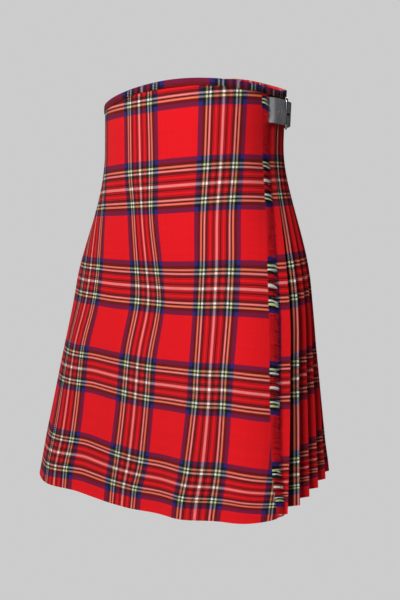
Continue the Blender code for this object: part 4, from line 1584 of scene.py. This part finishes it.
@dataclass
class HipFastening:
    """A leather strap with its buckle and the tab that holds the buckle.

    Distances "ahead" run from the buckle's front bar towards the strap's tip.

    Attributes:
        name: Start of its pieces' names.
        origin: Distance along of the buckle's front bar.
        hip: The hip that it is at, which says which way ahead runs.
        entry: Middle line of the strap before the buckle, as (ahead, depth) pairs.
    """

    name: str
    origin: float
    hip: Hip
    entry: list[Point]

    WIDTH = 0.035
    TOP = 0.0262
    THICK = 0.0020
    REST = 0.0007
    TAB_THICK = 0.0012
    TAB_LENGTH = 0.036
    TAB_SLOT = (0.016, 0.0062)
    FRAME_HEIGHT = 0.044
    FRAME_WIDTH = 0.029
    CORNER = 0.006
    BAR = 0.0026
    PIN = 0.0016
    POINT = 0.55
    STITCH = 0.0030
    SEWING = 0.00030
    SLOT_AHEAD = 0.0140
    SLOT = (0.0120, 0.0044)
    HOLE = (0.0028, 0.0028)
    HOLES_AHEAD = (-0.0055, -0.0150, -0.0245)
    TIP = 0.009
    TIP_SHARE = 0.86
    BEVEL = 0.0005
    ACROSS = 9

    def __post_init__(self) -> None:
        """Work out where the layers of leather and the bars lie."""
        half, gap = 0.5 * Figure.CLOTH, Figure.GAP
        self.heel = self.FRAME_WIDTH - self.BAR
        self.wrap = 0.5 * self.BAR + 2.0 * gap + 0.5 * self.TAB_THICK
        self.eye = 0.5 * self.BAR + gap + 0.5 * self.PIN
        self.heel_depth = -(half + gap + self.eye + 0.5 * self.PIN + 0.0001)
        self.front_depth = -(half + self.REST + self.THICK + 2.0 * gap + 0.5 * self.BAR)
        self.middle = self.TOP + 0.5 * self.WIDTH

    def place(self, ahead: float, depth: float, drop: float) -> Vector:
        """Point on or over the cloth."""
        return outline(round(drop, 4)).place(self.origin + self.hip.value * ahead, depth)

    def strap_line(self) -> list[Point]:
        """Middle line of the strap: under the front bar, over the heel bar, to its tip."""
        half, gap = 0.5 * Figure.CLOTH, Figure.GAP
        low = -(half + self.REST + 0.5 * self.THICK)
        over = self.heel_depth - (self.wrap + 0.5 * self.TAB_THICK + 2.0 * gap + 0.5 * self.THICK)
        tail = -(half + 5.0 * gap + 2.0 * self.TAB_THICK + 0.5 * self.THICK) - 0.0002
        heel = self.heel
        rest = [(-0.003, low), (0.006, low), (0.010, low - 0.0006), (0.0205, over + 0.0004)]
        rest += [(heel - 0.002, over), (heel + 0.003, over), (heel + 0.010, 0.5 * (over + tail))]
        return self.entry + rest + [(heel + 0.018, tail), (heel + 0.046, tail)]

    def tab_line(self) -> list[Point]:
        """Middle line of the tab, from its sewn end round the heel bar and back."""
        under = -(0.5 * Figure.CLOTH + Figure.GAP + 0.5 * self.TAB_THICK)
        upper = under - self.TAB_THICK - 2.0 * Figure.GAP
        heel, length = self.heel, self.TAB_LENGTH
        line = [(heel + length, under), (heel + 0.5 * length, under), (heel + 0.004, under)]
        for turn in range(-110, -251, -14):
            angle = math.radians(turn)
            ahead, depth = self.wrap * math.cos(angle), -self.wrap * math.sin(angle)
            line.append((heel + ahead, self.heel_depth + depth))
        line.append((heel + 0.012, upper - 0.0002))
        return line + [(heel + 0.5 * length, upper), (heel + length, upper)]

    @staticmethod
    def rounded(line: list[Point], step: float) -> list[Point]:
        """The line with closer points and its corners eased."""
        points = [line[0]]
        for one, two in zip(line, line[1:]):
            parts = max(1, math.ceil(math.hypot(two[0] - one[0], two[1] - one[1]) / step))
            for k in range(1, parts + 1):
                points.append((blend(one[0], two[0], k / parts), blend(one[1], two[1], k / parts)))
        for _ in range(2):
            eased = [points[0]]
            for a, b, c in zip(points, points[1:], points[2:]):
                eased.append(tuple(0.25 * (p + r) + 0.5 * q for p, q, r in zip(a, b, c)))
            points = [*eased, points[-1]]
        return points

    def leather(self, name: str, line: list[Point], width: float, thick: float, pointed: bool,
                material: bpy.types.Material) -> bpy.types.Object:
        """Strip of leather with rounded edges.

        Args:
            name: Name of the piece.
            line: Its middle line as (ahead, depth) pairs.
            width: Its width.
            thick: Its thickness.
            pointed: True if its end is cut to a rounded point.
            material: Its material.

        Returns:
            The object.
        """
        points = self.rounded(line, 0.0016)
        total, runs = 0.0, [0.0]
        for one, two in zip(points, points[1:]):
            total += math.hypot(two[0] - one[0], two[1] - one[1])
            runs.append(total)
        bevel, half, rings = self.BEVEL, 0.5 * thick, []
        last = len(points) - 1
        for i, (ahead, depth) in enumerate(points):
            one, two = points[max(i - 1, 0)], points[min(i + 1, last)]
            run = math.hypot(two[0] - one[0], two[1] - one[1])
            out = ((two[1] - one[1]) / run, -(two[0] - one[0]) / run)
            reach = 0.5 * width
            if pointed:
                left = max(0.0, 1.0 - (total - runs[i]) / self.TIP)
                reach *= math.sqrt(1.0 - left * left * self.TIP_SHARE)
            ring = []
            inner = np.linspace(-reach, reach, self.ACROSS)[1:-1]
            levels = (-reach, -reach + bevel, *inner, reach - bevel, reach)
            for side, order in ((1.0, levels), (-1.0, levels[::-1])):
                for up in order:
                    thin = half - bevel * (1.0 if abs(up) > reach - 0.5 * bevel else 0.0)
                    shift = side * thin
                    drop = self.middle + up
                    ring.append(self.place(ahead + out[0] * shift, depth + out[1] * shift, drop))
            rings.append(ring)
        spots, faces = sweep(np.array(rings))
        return make_object(name, spots, faces, None, material, 35.0)

    def punch(self, piece: bpy.types.Object, ahead: float, size: Point) -> None:
        """Cut an oval hole through a piece.

        Args:
            piece: The strap or the tab.
            ahead: Where its middle is.
            size: Its length and height.
        """
        middle = self.place(ahead, 0.0, self.middle)
        out = (middle - self.place(ahead, 0.009, self.middle)).normalized()
        down = Vector((0.0, 0.0, -1.0))
        across = down.cross(out).normalized()
        rings = []
        for reach in (0.011, -0.009):
            turns = [2.0 * math.pi * (k + 0.5) / 24 for k in range(24)]
            ring = [
                middle + out * reach + across * (0.5 * size[0] * math.cos(turn))
                + down * (0.5 * size[1] * math.sin(turn)) for turn in turns
            ]
            rings.append(ring)
        points, faces = sweep(np.array(rings))
        cutter = make_object(piece.name + "_cutter", points, faces, None, piece.data.materials[0])
        hole = piece.modifiers.new("hole", "BOOLEAN")
        hole.object, hole.operation, hole.solver = cutter, "DIFFERENCE", "EXACT"
        graph = bpy.context.evaluated_depsgraph_get()
        settled = bpy.data.meshes.new_from_object(piece.evaluated_get(graph))
        piece.modifiers.clear()
        piece.data = settled
        bpy.data.objects.remove(cutter, do_unlink=True)

    def bars(self) -> tuple[Vector, Vector, Vector, Vector, float]:
        """Front bar's middle, directions ahead, down and out, and the bars' distance."""
        front = self.place(0.0, self.front_depth, self.middle)
        heel = self.place(self.heel, self.heel_depth, self.middle)
        ahead, down = (heel - front).normalized(), Vector((0.0, 0.0, -1.0))
        out = (down.cross(ahead) * self.hip.value).normalized()
        return front, ahead, down, out, (heel - front).length

    def frame(self, material: bpy.types.Material) -> bpy.types.Object:
        """The buckle's frame of round bar."""
        front, ahead, down, out, width = self.bars()
        high, radius = 0.5 * (self.FRAME_HEIGHT - self.BAR), self.CORNER
        corners = ((radius, high - radius, 90), (width - radius, high - radius, 0),
                   (width - radius, radius - high, -90), (radius, radius - high, -180))
        path = []
        for across, low, start in corners:
            for step in range(0, 91, 10):
                angle = math.radians(start + 90 - step)
                spot = front + ahead * (across + radius * math.cos(angle))
                path.append(spot + down * (low + radius * math.sin(angle)))
        points, faces = tube(path, out, [0.5 * self.BAR] * len(path), 16, closed=True)
        return make_object(self.name + "_buckle_frame", points, faces, None, material)

    def pin(self, material: bpy.types.Material) -> bpy.types.Object:
        """The buckle's prong: an eye round the heel bar and an arm to the front bar."""
        front, ahead, down, out, width = self.bars()
        heel = front + ahead * width
        path = []
        for turn in range(80, -201, -14):
            angle = math.radians(turn)
            path.append(heel + (ahead * math.cos(angle) + out * math.sin(angle)) * self.eye)
        path.append(heel - ahead * (0.5 * width) + out * (0.55 * self.eye + 0.0004))
        path.append(front + out * self.eye)
        path.append(front - ahead * 0.0010 + out * self.eye)
        path.append(front - ahead * 0.0018 + out * (self.eye - 0.0002))
        radii = [0.5 * self.PIN] * (len(path) - 1) + [0.5 * self.PIN * self.POINT]
        points, faces = tube(path, down, radii, 12)
        return make_object(self.name + "_buckle_pin", points, faces, None, material)

    def stitches(self, material: bpy.types.Material) -> bpy.types.Object:
        """Thread that sews the tab down, as short stitches round its sewn end."""
        upper = -(0.5 * Figure.CLOTH + 3.0 * Figure.GAP + 2.0 * self.TAB_THICK) - 0.0002
        low, high = self.TOP + 0.0035, self.TOP + self.WIDTH - 0.0035
        near, far = self.heel + 0.012, self.heel + self.TAB_LENGTH - 0.0028
        corners = [(near, low), (far, low), (far, high), (near, high)]
        lifts = (-0.0002, 0.0002, 0.0003, 0.0002, -0.0002)
        sewn = []
        for one, two in zip(corners, corners[1:]):
            count = int(math.hypot(two[0] - one[0], two[1] - one[1]) / self.STITCH)
            side = Vector((0.0, 0.0, 1.0)) if one[1] == two[1] else Vector((1.0, 0.0, 0.0))
            for k in range(count):
                parts = np.linspace((k + 0.16) / count, (k + 0.84) / count, len(lifts))
                spots = []
                for part, lift in zip(parts, lifts):
                    ahead, drop = (blend(a, b, float(part)) for a, b in zip(one, two))
                    spots.append(self.place(ahead, upper - lift, drop))
                sewn.append(tube(spots, side, [self.SEWING] * len(spots), 6))
        points, faces = joined(sewn)
        return make_object(self.name + "_stitches", points, faces, None, material)

    def build(self, leather: bpy.types.Material, metal: bpy.types.Material,
              thread: bpy.types.Material) -> None:
        """Build every piece of the fastening.

        Args:
            leather: Material of the strap and the tab.
            metal: Material of the buckle.
            thread: Material of the stitches.
        """
        strap = self.leather(self.name + "_strap_leather", self.strap_line(), self.WIDTH,
                             self.THICK, True, leather)
        self.punch(strap, self.SLOT_AHEAD, self.SLOT)
        for ahead in self.HOLES_AHEAD:
            self.punch(strap, ahead, self.HOLE)
        finish_piece(strap, [self.name + "_strap"])
        tab = self.leather(self.name + "_tab", self.tab_line(), self.WIDTH - 0.002, self.TAB_THICK,
                           False, leather)
        self.punch(tab, self.heel - 0.001, self.TAB_SLOT)
        finish_piece(tab, [self.name + "_chape"])
        finish_piece(self.frame(metal), [self.name + "_buckle"])
        finish_piece(self.pin(metal), [self.name + "_tongue"])
        finish_piece(self.stitches(thread))


def hip_fastenings() -> list[HipFastening]:
    """The over-apron's fastening at the left hip and the under-apron's at the right."""
    low = -(0.5 * Figure.CLOTH + HipFastening.REST + 0.5 * HipFastening.THICK)
    bar = 0.2238
    entry = [(0.1515 - bar, -low), (0.1755 - bar, -low), (0.1890 - bar, low)]
    drop = HipFastening.TOP + 0.5 * HipFastening.WIDTH
    slit = Figure.APRON_FOLD.at(drop) - 0.5 * Figure.FOLD_GAP.at(drop)
    run = 0.032
    base = Figure.PLEAT_DEPTH.at(drop) - 0.5 * Figure.CLOTH - Figure.GAP
    hidden = [(-run, base), (-run, low), (-0.5 * run, low)]
    return [
        HipFastening("over_apron", bar, Hip.LEFT, entry),
        HipFastening("under_apron", slit - run, Hip.RIGHT, hidden),
    ]


# Studio


@dataclass
class Studio:
    """Camera, soft lights, pale floor and plain backdrop.

    Attributes:
        azimuth: Where the camera stands, from the front towards the wearer's left, in radians.
        pitch: How far it looks down.
        roll: How far it leans.
        distance: From the camera to the middle of the garment.
        aside: How far it stands to its own right.
        aim: Height that it looks at.
        lens: Focal length, in millimetres of the 36 mm wide sensor.
        rise: Vertical shift of the lens.
        backdrop: Brightness of the backdrop.
        fill: Brightness of the light from all round.
        floor_height: Height of the floor.
        floor_radius: Its radius.
    """

    azimuth: float = 0.55375
    pitch: float = 0.14833
    roll: float = 0.02803
    distance: float = 1.0892
    aside: float = 0.01063
    aim: float = -0.271
    lens: float = 41.086
    rise: float = -0.01427
    backdrop: float = 0.604
    fill: float = 0.05
    floor_height: float = -1.10
    floor_radius: float = 3.0

    def build(self) -> None:
        """Set up the camera, the lights, the floor and the backdrop."""
        self.camera()
        self.world()
        self.floor()
        self.area("key", 8.0, 30.0, 2.4, 0.6, 68.0)
        self.area("back", 215.0, 25.0, 2.4, 1.4, 55.0)

    def camera(self) -> None:
        """Place the camera."""
        ahead = Vector((math.sin(self.azimuth), -math.cos(self.azimuth), 0.0))
        right = Vector((math.cos(self.azimuth), math.sin(self.azimuth), 0.0))
        run, drop = math.cos(self.pitch), math.sin(self.pitch)
        forward = -ahead * run - Vector((0.0, 0.0, drop))
        up = right.cross(forward)
        turned = right * math.cos(self.roll) + up * math.sin(self.roll)
        stood = up * math.cos(self.roll) - right * math.sin(self.roll)
        data = bpy.data.cameras.new("camera")
        data.lens, data.sensor_width, data.shift_y = self.lens, 36.0, self.rise
        data.sensor_fit = "AUTO"
        data.clip_start = 0.05
        camera = bpy.data.objects.new("camera", data)
        spot = right * self.aside + Vector((0.0, 0.0, self.aim)) - forward * self.distance
        axes = Matrix((turned, stood, -forward)).transposed()
        camera.matrix_world = Matrix.Translation(spot) @ axes.to_4x4()
        bpy.context.scene.collection.objects.link(camera)
        bpy.context.scene.camera = camera

    def area(self, name: str, azimuth: float, elevation: float, reach: float, size: float,
             power: float) -> None:
        """Add a soft light that looks at the garment's middle.

        Args:
            name: Its name.
            azimuth: Where it stands, in degrees from the front towards the wearer's left.
            elevation: Its height, in degrees above level.
            reach: Its distance.
            size: Its width.
            power: Its power in watts.
        """
        turn, rise = math.radians(azimuth), math.radians(elevation)
        run = math.cos(rise)
        way = Vector((math.sin(turn) * run, -math.cos(turn) * run, math.sin(rise)))
        data = bpy.data.lights.new(name, "AREA")
        data.size, data.energy = size, power
        light = bpy.data.objects.new(name, data)
        light.location = way * reach + Vector((0.0, 0.0, self.aim))
        light.rotation_euler = way.to_track_quat("Z", "Y").to_euler()
        bpy.context.scene.collection.objects.link(light)

    def world(self) -> None:
        """Light from all round, and the plain backdrop that the camera sees."""
        world = bpy.data.worlds.new("studio")
        world.use_nodes = True
        world.node_tree.nodes.clear()
        use = Sockets(world.node_tree)
        seen, lit = use.node("ShaderNodeBackground"), use.node("ShaderNodeBackground")
        seen.inputs["Color"].default_value = (self.backdrop,) * 3 + (1.0,)
        lit.inputs["Strength"].default_value = self.fill
        leave = use.node("ShaderNodeOutputWorld")
        use.feed(leave.inputs["Surface"], use.for_camera(lit.outputs[0], seen.outputs[0]))
        bpy.context.scene.world = world
        bpy.context.scene.view_settings.view_transform = "Standard"

    def floor(self) -> None:
        """Pale floor that looks as plain as the backdrop."""
        made, use, shader = new_material("floor")
        shader.inputs["Base Color"].default_value = (0.5, 0.5, 0.5, 1.0)
        glow = use.node("ShaderNodeEmission")
        glow.inputs["Color"].default_value = (self.backdrop,) * 3 + (1.0,)
        surface = made.node_tree.nodes["Material Output"].inputs["Surface"]
        use.feed(surface, use.for_camera(shader.outputs[0], glow.outputs[0]))
        mesh = bpy.data.meshes.new("floor")
        maker = bmesh.new()
        bmesh.ops.create_circle(maker, cap_ends=True, segments=96, radius=self.floor_radius)
        maker.to_mesh(mesh)
        maker.free()
        mesh.materials.append(made)
        floor = bpy.data.objects.new("floor", mesh)
        floor.location.z = self.floor_height
        bpy.context.scene.collection.objects.link(floor)


@dataclass
class Kilt:
    """The whole garment.

    Attributes:
        pattern: How the tartan lies on its cloth.
    """

    pattern: ClothPattern = field(default_factory=ClothPattern)

    def build(self) -> None:
        groups = WeaveGroups(ROYAL)
        wool = TartanFinish("tartan_wool").material(groups)
        banded = TartanFinish("waistband_wool", shift=(-0.045, 0.027)).material(groups)
        yarn = YarnFinish("fringe_yarn").material(groups)
        fringe = Fringe().build(yarn)
        over = OverApron(self.pattern).build(wool)
        under = UnderApron(self.pattern).build(wool)
        left = PleatedCloth(Side.LEFT, self.pattern).build(wool)
        right = PleatedCloth(Side.RIGHT, self.pattern).build(wool)
        band = Waistband().build(banded)
        leather = LeatherFinish("strap_leather").material()
        metal = MetalFinish("buckle_plate").material()
        thread = ThreadFinish("black_thread", (0.020, 0.018, 0.018)).material()
        for fastening in hip_fastenings():
            fastening.build(leather, metal, thread)


def main() -> None:
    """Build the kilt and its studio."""
    logging.basicConfig(level=logging.INFO, format="%(name)s %(message)s")
    Studio().build()
    Kilt().build()
    bpy.context.view_layer.update()


if __name__ == "__main__":
    main()
